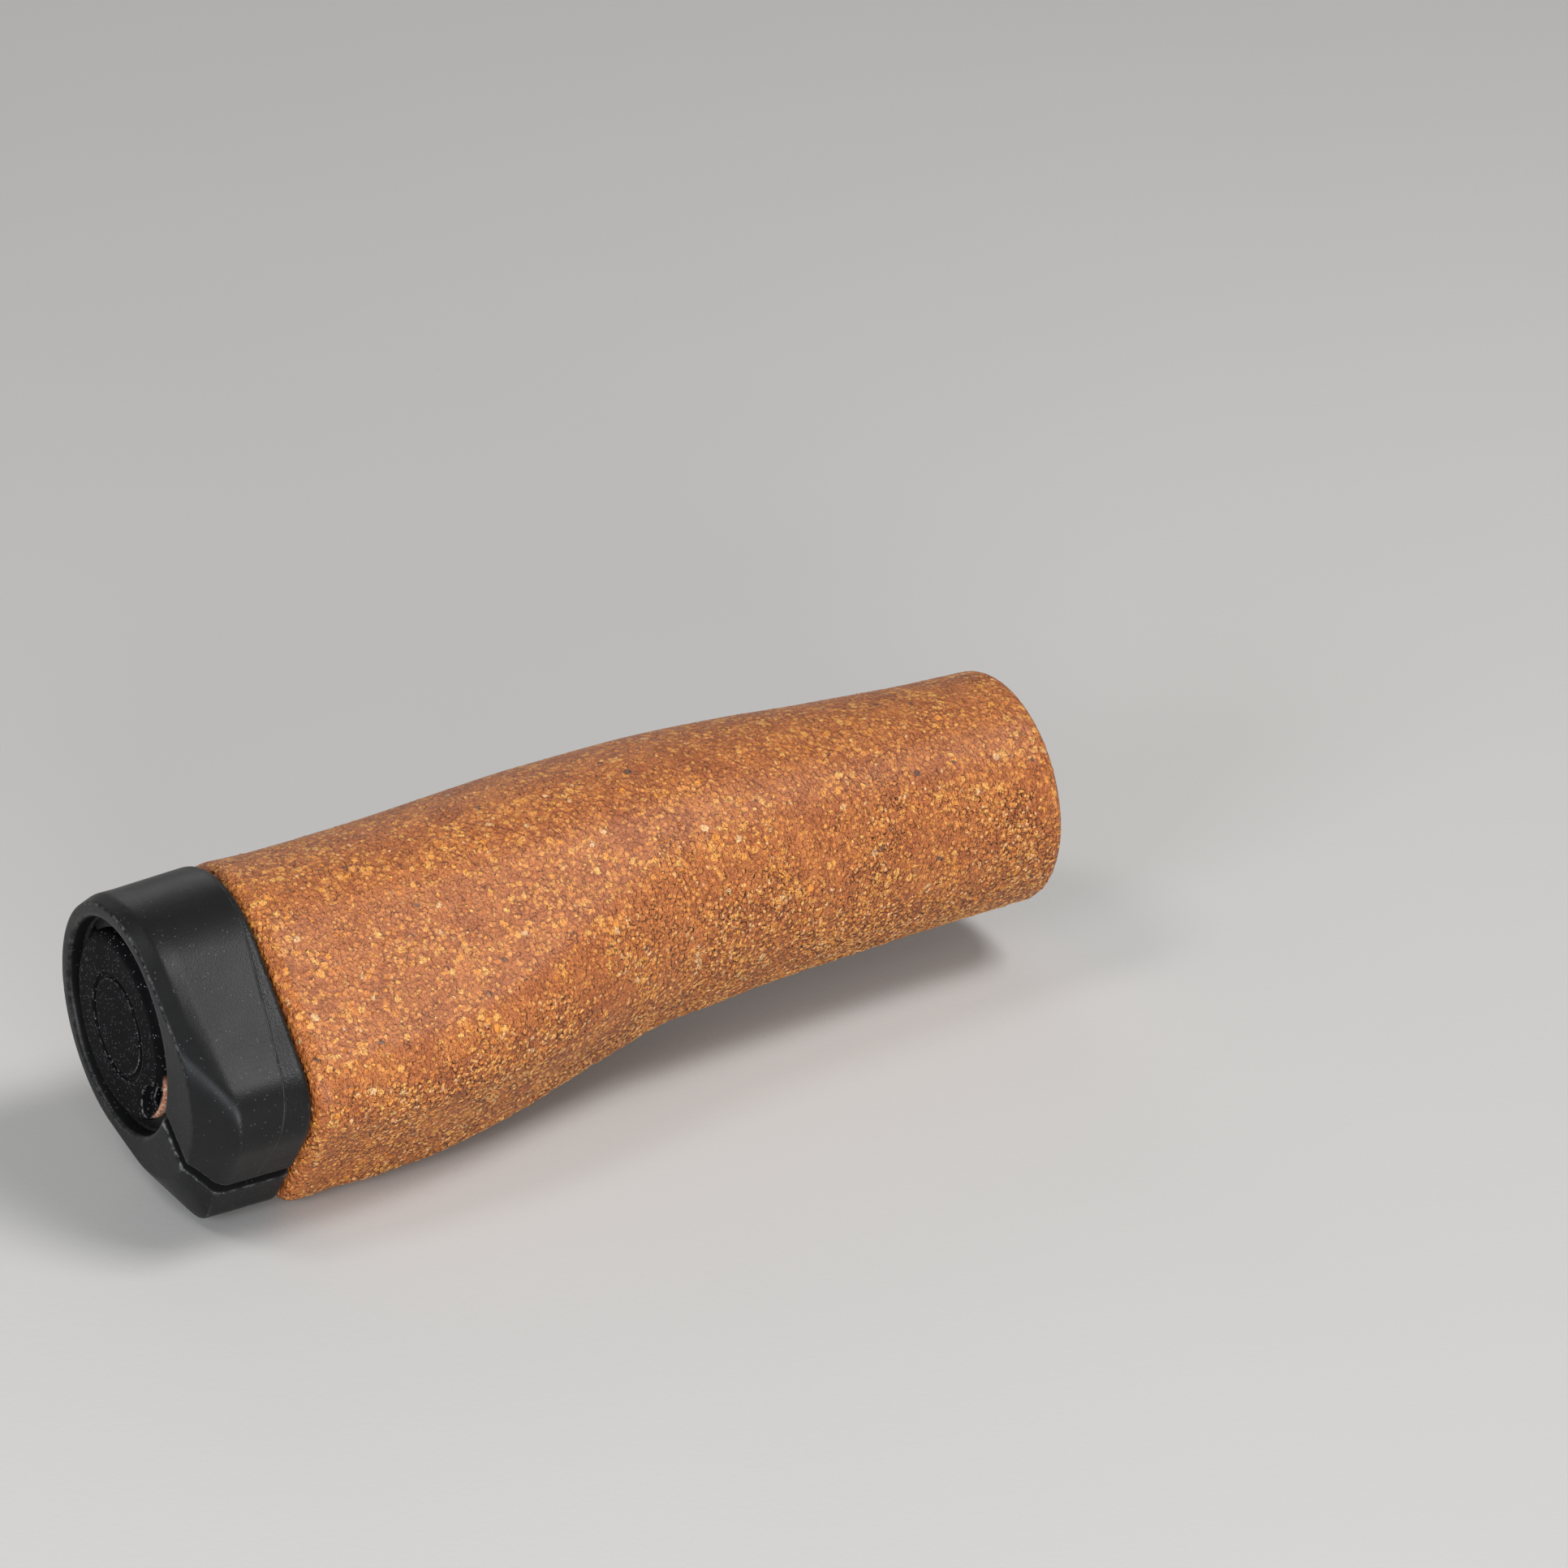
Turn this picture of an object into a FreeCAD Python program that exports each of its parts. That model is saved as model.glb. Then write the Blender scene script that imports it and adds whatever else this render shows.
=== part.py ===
"""Lock-on bicycle grip for the left end of a flat bar: core tube, cork sleeve, split clamp, screw, plug.

Frame, in millimetres: X runs along the bar and points inboard, Y points forward, Z up. The origin is
the centre of the bar bore's inboard mouth, so the grip lies on the -X side. The palm wing and the
clamp's jaws reach rearward and a little down. "Reach" is measured from the clamp's bore along the
split, and "drop" across the split, towards the screw's head.
"""
import FreeCAD, Part
import math
import os
from FreeCAD import Vector

os.makedirs("parts", exist_ok=True)

# ---------------------------------------------------------------------------- driving dimensions
BAR_D = 22.2              # the handlebar's grip diameter, a standard
BORE_CLEARANCE = 0.05     # radial, core tube over the bar
GRIP_LENGTH = 121.0       # inboard mouth to the clamp's front face
CLAMP_WIDTH = 13.3        # clamp along the bar, at the bar's height
SEAM_LEAN = 3.4           # degrees that the seam between clamp and cork leans, wider at the top
SEAM_GAP = 0.25           # between the clamp's rear face and the cork
FIT_CLEARANCE = 0.05      # radial, cork and clamp over the core tube

CORE_WALL = 1.45
CORE_SETBACK = 2.0        # core tube's end behind the clamp's front face
LIP_THICKNESS = 3.0       # inward lip that the bar's end stops against
LIP_BORE_R = 8.4
COLLET_SLOTS = 4
COLLET_SLOT_WIDTH = 1.6
COLLET_SLOT_LENGTH = 12.0
RIB_COUNT = 6             # ribs that keep the cork from turning on the tube
RIB_HEIGHT = 0.8
RIB_WIDTH = 2.2
RIB_START = 6.0           # from the inboard mouth
RIB_END_MARGIN = 9.0      # from the cork's outboard end
RIB_PLAY = 0.1            # cork groove around a rib
KEY_WIDTH = 3.0           # key that keeps the clamp from turning on the tube
KEY_HEIGHT = 0.9
KEY_LENGTH = 6.0
KEY_PLAY = 0.1

CLAMP_WALL = 2.85         # round part of the clamp, around its bore
OPENING_STEP = 0.4        # front opening is this much wider than the clamp's bore, radially
OPENING_BEVEL = 0.35
SPLIT_ANGLE = 40.0        # degrees below straight rearward
SPLIT_RISE = 3.06         # split's middle above the bar's axis, across the split
SPLIT_WIDTH = 1.8
HEEL = (3.45, -9.25, 6.5)     # upper rear corner: reach, drop, corner radius
TOE = (7.5, 2.78, 4.0)        # lower rear corner: reach, drop, corner radius
FLAT_EASE = 0.7               # front flat's round part inside the clamp's outline
FLAT_HEEL = (-4.55, -3.25, 11.4)
FLAT_TOE = (-6.2, -0.8, 12.5)
FACET_DEPTHS = (2.1, 4.0, 2.8)  # depth of the front facet at the round part, heel and toe
FACET_SECTIONS = 5
FACET_ROUNDING = 5            # higher keeps the facet straight for longer before it rounds off
FLAT_CHAMFER = 0.3            # broken edge of the front flat
REAR_ROUND = 0.8              # rounding of the clamp's rear edge
REAR_STEPS = 2
REAR_SWELL = 0.4              # round part's growth towards the cork

SCREW_D = 4.0
SCREW_LENGTH = 16.0
SCREW_HEAD_D = 7.0
SCREW_HEAD_HEIGHT = 4.0
HEX_ACROSS_FLATS = 3.0
HEX_DEPTH = 2.2
THREAD_CLEARANCE = 0.05   # radial, smooth stand-in for the thread
SCREW_HOLE_CLEARANCE = 0.2
SCREW_INSET = 5.75        # screw's axis inboard of the seam plane at the bar's height
SCREW_REACH = 4.95        # screw's axis beyond the clamp's bore
SEAT_DROP = 2.0           # washer's seat, from the bar's axis across the split
WASHER_D = 7.0
WASHER_HOLE_D = 4.3
WASHER_THICKNESS = 0.5
COUNTERBORE_CLEARANCE = 0.2
SCREW_TIP_ROOM = 0.8      # blind hole past the screw's tip
NUT_ACROSS_FLATS = 7.0
NUT_THICKNESS = 2.2
NUT_RISE = 7.5            # nut's seat above the bar's axis across the split
NUT_PLAY = 0.1

PLUG_R = 11.5
PLUG_RISE = 1.85          # plug's face in front of the core tube's end
PLUG_FLOOR = 2.2          # plate's thickness
PLUG_EDGE = 1.5           # rounding of the plate's rim
PLUG_EDGE_STEPS = 3
SPIGOT_CLEARANCE = 0.05
SPIGOT_WALL = 1.35
SPIGOT_LENGTH = 2.8       # shorter than the lip is thick, so it stays clear of the bar
SPIGOT_CHAMFER = 0.4
SPIGOT_SLOTS = 4
SPIGOT_SLOT_WIDTH = 1.6
SPIGOT_SLOT_LENGTH = 2.4
RING_R = 6.2              # plain ring groove in the plug's face
RING_WIDTH = 0.8
RING_DEPTH = 0.3
SCOOP_R = 4.1             # pry notch: a shallow scoop in the plug's rim
SCOOP_OVERHANG = 0.9      # scoop's centre outside the rim
SCOOP_DEPTH = 0.7
SCOOP_ANGLE = 38.0        # degrees below straight rearward
PRY_SLOT_LIP = 0.7        # rim left outside the slot
PRY_SLOT_ANGLE = 27.0
PRY_SLOT_LENGTH = 3.8
PRY_SLOT_WIDTH = 1.2

# cork sleeve: share of its length from the inboard end, wall over the tube, lift of the belly,
# and how far the section has grown from a circle (0) to the clamp's winged outline (1)
CORK_STATIONS = [
    (0.00, 2.05, 0.00, 0.00),
    (0.11, 2.35, 0.15, 0.00),
    (0.23, 3.00, 0.40, 0.00),
    (0.35, 3.75, 0.70, 0.00),
    (0.48, 4.40, 0.60, 0.04),
    (0.60, 4.35, 0.40, 0.34),
    (0.72, 3.80, 0.20, 0.74),
    (0.83, 3.25, 0.10, 0.95),
    (0.93, 3.05, 0.00, 1.00),
    (1.00, 3.30, 0.00, 1.00),
]
CORK_OVER_CLAMP = 0.9     # cork's corners outside the clamp's
CORK_INBOARD_ROUND = 1.5
CORK_OUTBOARD_ROUND = 2.0
END_STEPS = 3             # steps in each rounded end
CORK_CORNERS = 60         # corners of each section, so that the soft solid stays light

# ---------------------------------------------------------------------------- worked-out places
BORE_R = BAR_D / 2 + BORE_CLEARANCE
CORE_R = BORE_R + CORE_WALL
SLEEVE_BORE_R = CORE_R + FIT_CLEARANCE
CLAMP_R = SLEEVE_BORE_R + CLAMP_WALL
OPENING_R = SLEEVE_BORE_R + OPENING_STEP
FRONT_X = -GRIP_LENGTH
SEAM_X = FRONT_X + CLAMP_WIDTH
CORE_END_X = FRONT_X + CORE_SETBACK
PLUG_FACE_X = CORE_END_X - PLUG_RISE
SCREW_X = SEAM_X - SCREW_INSET
SCREW_T = SLEEVE_BORE_R + SCREW_REACH
SPIGOT_R = LIP_BORE_R - SPIGOT_CLEARANCE
SCOOP_OFFSET = PLUG_R + SCOOP_OVERHANG
PRY_SLOT_OFFSET = PLUG_R - PRY_SLOT_LIP - PRY_SLOT_WIDTH / 2
WINDING = math.radians(SPLIT_ANGLE)
REACH_DIR = Vector(0, -math.cos(WINDING), -math.sin(WINDING))
DROP_DIR = Vector(0, math.sin(WINDING), -math.cos(WINDING))
ALONG = Vector(1, 0, 0)
OVERCUT = 1.0             # cutting tools run this far past the solid
TOUCH = 0.01              # nearer than this counts as on the surface


def at(x, reach, drop):
    """Point at a place along the bar, a distance along the split from the bar's axis, and a drop."""
    return Vector(x, 0, 0) + REACH_DIR * reach + DROP_DIR * drop


def corner_disc(corner, grow=0.0):
    """Centre (y, z) and radius of a corner given as reach beyond the clamp's bore, drop and radius."""
    reach, drop, radius = corner
    place = at(0, SLEEVE_BORE_R + reach, drop)
    return (place.y, place.z, radius + grow)


def tube(x_start, x_end, r_outer, r_inner):
    """Round tube along the bar between two places."""
    length = x_end - x_start
    outer = Part.makeCylinder(r_outer, length, Vector(x_start, 0, 0), ALONG)
    inner = Part.makeCylinder(r_inner, length + 2 * OVERCUT, Vector(x_start - OVERCUT, 0, 0), ALONG)
    return outer.cut(inner)


def radial_bar(x_start, x_end, r_inner, r_outer, width, degrees):
    """Straight bar along X whose width lies across the radius at an angle above forward."""
    box = Part.makeBox(x_end - x_start, width, r_outer - r_inner,
                       Vector(x_start, -width / 2, r_inner))
    return box.rotated(Vector(0, 0, 0), ALONG, degrees - 90)


def outline(x, discs):
    """Wire around three discs in the plane x: an arc on each disc and straight flanks between."""
    count = len(discs)
    normals = []
    for i in range(count):
        y0, z0, r0 = discs[i]
        y1, z1, r1 = discs[(i + 1) % count]
        gap = math.hypot(y1 - y0, z1 - z0)
        lean = (r0 - r1) / gap
        side = math.sqrt(1 - lean * lean)
        dy, dz = (y1 - y0) / gap, (z1 - z0) / gap
        normals.append(math.atan2(lean * dz - side * dy, lean * dy + side * dz))
    edges = []
    for i in range(count):
        y0, z0, r0 = discs[i]
        start, end = normals[i - 1], normals[i]
        while end < start:
            end += 2 * math.pi

        def on_disc(angle, disc=discs[i]):
            return Vector(x, disc[0] + disc[2] * math.cos(angle), disc[1] + disc[2] * math.sin(angle))

        edges.append(Part.Arc(on_disc(start), on_disc((start + end) / 2), on_disc(end)).toShape())
        edges.append(Part.LineSegment(on_disc(end), on_disc(end, discs[(i + 1) % count])).toShape())
    return Part.Wire(edges)


def make_core_tube():
    """Hard tube under the cork: collet fingers and a bar stop at one end, ribs and a clamp key."""
    core = tube(CORE_END_X, 0, CORE_R, BORE_R)
    core = core.fuse(tube(CORE_END_X, CORE_END_X + LIP_THICKNESS, CORE_R, LIP_BORE_R))
    for degrees in rib_angles():
        core = core.fuse(radial_bar(SEAM_X + RIB_END_MARGIN, -RIB_START, BORE_R + CORE_WALL / 2,
                                    CORE_R + RIB_HEIGHT, RIB_WIDTH, degrees))
    core = core.fuse(clamp_key(0.0))
    for i in range(COLLET_SLOTS):
        degrees = 180 + SPLIT_ANGLE + i * 360.0 / COLLET_SLOTS
        core = core.cut(radial_bar(CORE_END_X - OVERCUT, CORE_END_X + COLLET_SLOT_LENGTH,
                                   LIP_BORE_R - OVERCUT, CORE_R + OVERCUT, COLLET_SLOT_WIDTH, degrees))
    return core.removeSplitter()


def rib_angles():
    """Angles of the tube's ribs, evenly spaced around it."""
    return [SPLIT_ANGLE + i * 360.0 / RIB_COUNT for i in range(RIB_COUNT)]


def clamp_key(play):
    """Key on the tube's top at the clamp's bore, or with play the groove that takes it."""
    start = SEAM_X - SEAM_GAP - OVERCUT - KEY_LENGTH - play
    end = start + KEY_LENGTH + play
    if play:
        end = SEAM_X + CLAMP_R
    root = BORE_R + CORE_WALL / 2
    return radial_bar(start, end, root, CORE_R + KEY_HEIGHT + play, KEY_WIDTH + 2 * play, 90)


def profile(column, share):
    """Smooth value of one station column at a share of the cork's length (monotone cubic)."""
    xs = [station[0] for station in CORK_STATIONS]
    ys = [station[column] for station in CORK_STATIONS]
    slopes = []
    steps = [(ys[i + 1] - ys[i]) / (xs[i + 1] - xs[i]) for i in range(len(xs) - 1)]
    slopes.append(steps[0])
    for before, after in zip(steps, steps[1:]):
        slopes.append(0.0 if before * after <= 0 else 2 * before * after / (before + after))
    slopes.append(steps[-1])
    i = max(k for k in range(len(xs) - 1) if share >= xs[k])
    width = xs[i + 1] - xs[i]
    t = (share - xs[i]) / width
    return ((2 * t ** 3 - 3 * t ** 2 + 1) * ys[i] + (t ** 3 - 2 * t ** 2 + t) * width * slopes[i]
            + (3 * t ** 2 - 2 * t ** 3) * ys[i + 1] + (t ** 3 - t ** 2) * width * slopes[i + 1])


def cork_discs(share):
    """The three discs whose hull is the cork's section at a share of its length."""
    radius = CORE_R + profile(1, share)
    lift = profile(2, share)
    wing = profile(3, share)
    discs = [(0.0, lift, radius)]
    for corner in (HEEL, TOE):
        y, z, r = corner_disc(corner, CORK_OVER_CLAMP)
        discs.append((wing * y, wing * z + (1 - wing) * lift, radius + wing * (r - radius)))
    return discs


def inset_discs(discs, inset):
    """The same discs with smaller radii."""
    return [(y, z, r - inset) for y, z, r in discs]


def cornered_outline(discs):
    """Polygon around three discs, with a corner on them in each of many evenly spread directions."""
    corners = []
    for i in range(CORK_CORNERS):
        angle = 2 * math.pi * i / CORK_CORNERS
        out_y, out_z = math.cos(angle), math.sin(angle)
        y, z, r = max(discs, key=lambda disc: disc[0] * out_y + disc[1] * out_z + disc[2])
        corners.append(Vector(0, y + r * out_y, z + r * out_z))
    return Part.makePolygon(corners + corners[:1])


def leaned(wire, x, lean):
    """A wire from the plane x = 0, moved to x on the bar's axis and leaned about Y, top inboard."""
    wire.rotate(Vector(0, 0, 0), Vector(0, 1, 0), lean)
    wire.translate(Vector(x, 0, 0))
    return wire


def round_off(radius, steps):
    """Distance from an end and inset of each section of a quarter-round, from the end inwards."""
    turns = [math.pi / 2 * i / steps for i in range(steps + 1)]
    return [(radius * (1 - math.cos(t)), radius * (1 - math.sin(t))) for t in turns]


def cork_sections():
    """Distance from the inboard end and inset of each section, with both ends rounded off."""
    length = -SEAM_X
    sections = round_off(CORK_INBOARD_ROUND, END_STEPS)
    for station in CORK_STATIONS[1:-1]:
        sections.append((station[0] * length, 0.0))
    for distance, inset in reversed(round_off(CORK_OUTBOARD_ROUND, END_STEPS)):
        sections.append((length - distance, inset))
    return sections


def make_cork_sleeve():
    """Soft sleeve: a round belly that grows into the palm wing, lofted along the bar."""
    wires = []
    for distance, inset in cork_sections():
        share = distance / -SEAM_X
        section = cornered_outline(inset_discs(cork_discs(share), inset))
        wires.append(leaned(section, -distance, SEAM_LEAN * share ** 2))
    sleeve = Part.makeLoft(wires, True, True)
    bore = Part.makeCylinder(SLEEVE_BORE_R, GRIP_LENGTH + OVERCUT, Vector(FRONT_X, 0, 0), ALONG)
    sleeve = sleeve.cut(bore)
    for degrees in rib_angles():
        sleeve = sleeve.cut(radial_bar(SEAM_X + RIB_END_MARGIN - RIB_PLAY, -RIB_START + RIB_PLAY,
                                       BORE_R, CORE_R + RIB_HEIGHT + RIB_PLAY,
                                       RIB_WIDTH + 2 * RIB_PLAY, degrees))
    return sleeve


def facet_growth(share):
    """How far a facet has risen from the front flat (0) to the full outline (1) at a share of its depth."""
    share = min(share, 1.0)
    extra = 1.0 / (FACET_ROUNDING - 1)
    return (1 + extra) * share - extra * share ** FACET_ROUNDING


def clamp_blank():
    """Clamp's outer form: a winged prism whose front facets deepen towards the wing."""
    discs = [(0.0, 0.0, CLAMP_R), corner_disc(HEEL), corner_disc(TOE)]
    flat = [(0.0, 0.0, CLAMP_R - FLAT_EASE), corner_disc(FLAT_HEEL), corner_disc(FLAT_TOE)]
    front_depth = max(FACET_DEPTHS)
    sections = [outline(FRONT_X, inset_discs(flat, FLAT_CHAMFER))]
    for i in range(FACET_SECTIONS):
        depth = FLAT_CHAMFER + (front_depth - FLAT_CHAMFER) * i / (FACET_SECTIONS - 1)
        grown = []
        for start, end, full_depth in zip(flat, discs, FACET_DEPTHS):
            growth = facet_growth(depth / full_depth)
            grown.append(tuple(a + (b - a) * growth for a, b in zip(start, end)))
        sections.append(outline(FRONT_X + depth, grown))
    swollen = [(0.0, 0.0, CLAMP_R + REAR_SWELL)] + discs[1:]
    for distance, inset in reversed(round_off(REAR_ROUND, REAR_STEPS)):
        section = outline(0, inset_discs(swollen, inset))
        sections.append(leaned(section, SEAM_X - SEAM_GAP - distance, SEAM_LEAN))
    return Part.makeLoft(sections, True, True)


def make_clamp_ring():
    """Split clamp: bore, front opening, split, counterbored screw hole and nut pocket."""
    clamp = clamp_blank()
    bore_length = CLAMP_WIDTH + CLAMP_R
    clamp = clamp.cut(Part.makeCylinder(SLEEVE_BORE_R, bore_length, Vector(FRONT_X, 0, 0), ALONG))
    clamp = clamp.cut(Part.makeCylinder(OPENING_R, CORE_SETBACK + OVERCUT,
                                        Vector(FRONT_X - OVERCUT, 0, 0), ALONG))
    clamp = clamp.cut(Part.makeCone(OPENING_R + OPENING_BEVEL, OPENING_R, OPENING_BEVEL,
                                    Vector(FRONT_X, 0, 0), ALONG))
    clamp = clamp.cut(clamp_key(KEY_PLAY))
    split = Part.makeBox(bore_length + 2 * OVERCUT, SLEEVE_BORE_R * 2, SPLIT_WIDTH)
    split.translate(Vector(FRONT_X - OVERCUT, 0, -SPLIT_WIDTH / 2))
    clamp = clamp.cut(turned_to_split(split, SLEEVE_BORE_R * 0.6, -SPLIT_RISE))
    shank_hole_r = SCREW_D / 2 + SCREW_HOLE_CLEARANCE
    tip_drop = SEAT_DROP + WASHER_THICKNESS - SCREW_LENGTH
    hole_length = SEAT_DROP - tip_drop + SCREW_TIP_ROOM + OVERCUT
    clamp = clamp.cut(Part.makeCylinder(shank_hole_r, hole_length,
                                        at(SCREW_X, SCREW_T, tip_drop - SCREW_TIP_ROOM), DROP_DIR))
    clamp = clamp.cut(Part.makeCylinder(WASHER_D / 2 + COUNTERBORE_CLEARANCE, CLAMP_R,
                                        at(SCREW_X, SCREW_T, SEAT_DROP), DROP_DIR))
    return clamp.cut(nut_pocket())


def turned_to_split(shape, reach, drop):
    """A shape made with +Y as reach and +Z as drop, turned to the split and moved to its place."""
    turned = shape.rotated(Vector(0, 0, 0), ALONG, 180 + SPLIT_ANGLE)
    turned.translate(at(0, reach, drop))
    return turned


def nut_pocket():
    """Pocket that the square nut slides into from the clamp's rear face."""
    half = NUT_ACROSS_FLATS / 2 + NUT_PLAY
    height = NUT_THICKNESS + NUT_PLAY
    pocket = Part.makeBox(half + CLAMP_WIDTH + CLAMP_R, 2 * half, height,
                          Vector(SCREW_X - half, -half, -height))
    return turned_to_split(pocket, SCREW_T, -NUT_RISE)


def make_clamp_nut():
    """Square nut, seated on the pocket's wall next to the split."""
    half = NUT_ACROSS_FLATS / 2
    nut = Part.makeBox(2 * half, 2 * half, NUT_THICKNESS,
                       Vector(SCREW_X - half, -half, -NUT_THICKNESS))
    nut = turned_to_split(nut, SCREW_T, -NUT_RISE)
    hole = Part.makeCylinder(SCREW_D / 2 + THREAD_CLEARANCE, NUT_THICKNESS + 2 * OVERCUT,
                             at(SCREW_X, SCREW_T, -NUT_RISE - NUT_THICKNESS - OVERCUT), DROP_DIR)
    return nut.cut(hole)


def make_screw_washer():
    """Plain washer at the bottom of the counterbore."""
    base = at(SCREW_X, SCREW_T, SEAT_DROP)
    ring = Part.makeCylinder(WASHER_D / 2, WASHER_THICKNESS, base, DROP_DIR)
    return ring.cut(Part.makeCylinder(WASHER_HOLE_D / 2, WASHER_THICKNESS + 2 * OVERCUT,
                                      base - DROP_DIR * OVERCUT, DROP_DIR))


def make_clamp_screw():
    """Socket head screw: shank with a pointed tip, round head and a hexagon socket."""
    under_head = at(SCREW_X, SCREW_T, SEAT_DROP + WASHER_THICKNESS)
    radius = SCREW_D / 2
    lead = radius / 3
    shank = Part.makeCylinder(radius, SCREW_LENGTH - lead, under_head, DROP_DIR * -1)
    tip = Part.makeCone(radius, radius - lead, lead,
                        under_head - DROP_DIR * (SCREW_LENGTH - lead), DROP_DIR * -1)
    rim = SCREW_HEAD_D / 16
    head = Part.makeCylinder(SCREW_HEAD_D / 2, SCREW_HEAD_HEIGHT - rim, under_head, DROP_DIR)
    crown = Part.makeCone(SCREW_HEAD_D / 2, SCREW_HEAD_D / 2 - rim, rim,
                          under_head + DROP_DIR * (SCREW_HEAD_HEIGHT - rim), DROP_DIR)
    top = under_head + DROP_DIR * SCREW_HEAD_HEIGHT
    corner_r = HEX_ACROSS_FLATS / math.sqrt(3)
    corners = [top + ALONG * (corner_r * math.cos(math.radians(60 * i)))
               + REACH_DIR * (corner_r * math.sin(math.radians(60 * i))) for i in range(7)]
    socket = Part.Face(Part.makePolygon(corners)).extrude(DROP_DIR * -HEX_DEPTH)
    return shank.fuse([tip, head, crown]).removeSplitter().cut(socket)


def make_end_plug():
    """Push-in end plug: a round-edged plate with a pry notch on a slotted hollow spigot."""
    face, seat = PLUG_FACE_X, CORE_END_X
    inner_r = SPIGOT_R - SPIGOT_WALL
    end = seat + SPIGOT_LENGTH
    groove_in, groove_out = RING_R - RING_WIDTH / 2, RING_R + RING_WIDTH / 2

    def p(x, r):
        return Vector(x, 0, r)

    def path(*points):
        return [Part.LineSegment(a, b).toShape() for a, b in zip(points, points[1:])]

    rim = [p(face + back, PLUG_R - inset) for back, inset in round_off(PLUG_EDGE, PLUG_EDGE_STEPS)]
    edges = path(p(face + PLUG_FLOOR, 0), p(face, 0), p(face, groove_in), p(face + RING_DEPTH, groove_in),
                 p(face + RING_DEPTH, groove_out), p(face, groove_out), *rim,
                 p(seat, PLUG_R), p(seat, SPIGOT_R),
                 p(end - SPIGOT_CHAMFER, SPIGOT_R), p(end, SPIGOT_R - SPIGOT_CHAMFER),
                 p(end, inner_r), p(face + PLUG_FLOOR, inner_r), p(face + PLUG_FLOOR, 0))
    plug = Part.Face(Part.Wire(edges)).revolve(Vector(0, 0, 0), ALONG, 360)
    for i in range(SPIGOT_SLOTS):
        degrees = SPLIT_ANGLE + i * 360.0 / SPIGOT_SLOTS
        plug = plug.cut(radial_bar(end - SPIGOT_SLOT_LENGTH, end + OVERCUT, inner_r - OVERCUT,
                                   SPIGOT_R + OVERCUT, SPIGOT_SLOT_WIDTH, degrees))
    scoop_turn = math.radians(180 + SCOOP_ANGLE)
    scoop_at = Vector(face - OVERCUT, SCOOP_OFFSET * math.cos(scoop_turn),
                      SCOOP_OFFSET * math.sin(scoop_turn))
    plug = plug.cut(Part.makeCylinder(SCOOP_R, SCOOP_DEPTH + OVERCUT, scoop_at, ALONG))
    pry = radial_bar(face - OVERCUT, seat + OVERCUT, PRY_SLOT_OFFSET - PRY_SLOT_WIDTH / 2,
                     PRY_SLOT_OFFSET + PRY_SLOT_WIDTH / 2, PRY_SLOT_LENGTH, 180 + PRY_SLOT_ANGLE)
    return plug.cut(pry)


PIECES = {
    "core_tube": make_core_tube,
    "cork_sleeve": make_cork_sleeve,
    "clamp_ring": make_clamp_ring,
    "clamp_screw": make_clamp_screw,
    "screw_washer": make_screw_washer,
    "clamp_nut": make_clamp_nut,
    "end_plug": make_end_plug,
}

for node, make in PIECES.items():
    shape = make()
    shape.exportStep("parts/" + node + ".step")
    print(node, "solids", len(shape.Solids), "valid", shape.isValid(), "volume", round(shape.Volume, 1))
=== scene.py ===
"""Looks for a lock-on bicycle grip: cork sleeve, split clamp, screw set, core tube and end plug.

Sizes are millimetres and angles degrees, apart from the studio's lengths, which are metres. Meshes
are written in metres in the CAD frame. X runs along the bar and points inboard, Y points forward
and Z up. The origin is the centre of the bar bore's inboard mouth. "Reach" is measured from the
bar's axis along the clamp's split, and "drop" across the split towards the screw's head. A corner
is given by its reach, drop and radius.
"""
import logging
import math
from dataclasses import dataclass, field
from enum import Enum
from typing import Mapping, Optional, Protocol, Sequence, Union

import bmesh
import bpy
import numpy as np
from mathutils import Matrix, Vector, noise


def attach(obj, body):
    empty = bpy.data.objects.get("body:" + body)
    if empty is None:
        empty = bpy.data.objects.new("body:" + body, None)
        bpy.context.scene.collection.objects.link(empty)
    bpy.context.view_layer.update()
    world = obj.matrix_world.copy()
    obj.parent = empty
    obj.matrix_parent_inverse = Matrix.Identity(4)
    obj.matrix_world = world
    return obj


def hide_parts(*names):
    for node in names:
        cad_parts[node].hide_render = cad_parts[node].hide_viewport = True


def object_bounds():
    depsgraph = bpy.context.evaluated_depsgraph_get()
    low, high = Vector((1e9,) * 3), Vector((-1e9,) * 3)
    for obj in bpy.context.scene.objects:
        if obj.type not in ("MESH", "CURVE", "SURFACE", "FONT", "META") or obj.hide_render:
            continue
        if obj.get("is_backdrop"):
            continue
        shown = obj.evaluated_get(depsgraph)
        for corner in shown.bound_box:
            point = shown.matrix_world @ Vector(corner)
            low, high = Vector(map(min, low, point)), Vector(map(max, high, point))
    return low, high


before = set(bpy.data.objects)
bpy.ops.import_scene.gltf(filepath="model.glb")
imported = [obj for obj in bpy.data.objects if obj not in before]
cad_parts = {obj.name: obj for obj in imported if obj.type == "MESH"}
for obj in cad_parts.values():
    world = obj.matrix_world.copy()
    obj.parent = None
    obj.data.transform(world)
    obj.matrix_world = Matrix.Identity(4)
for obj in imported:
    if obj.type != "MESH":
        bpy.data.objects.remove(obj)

log = logging.getLogger("grip")

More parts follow.
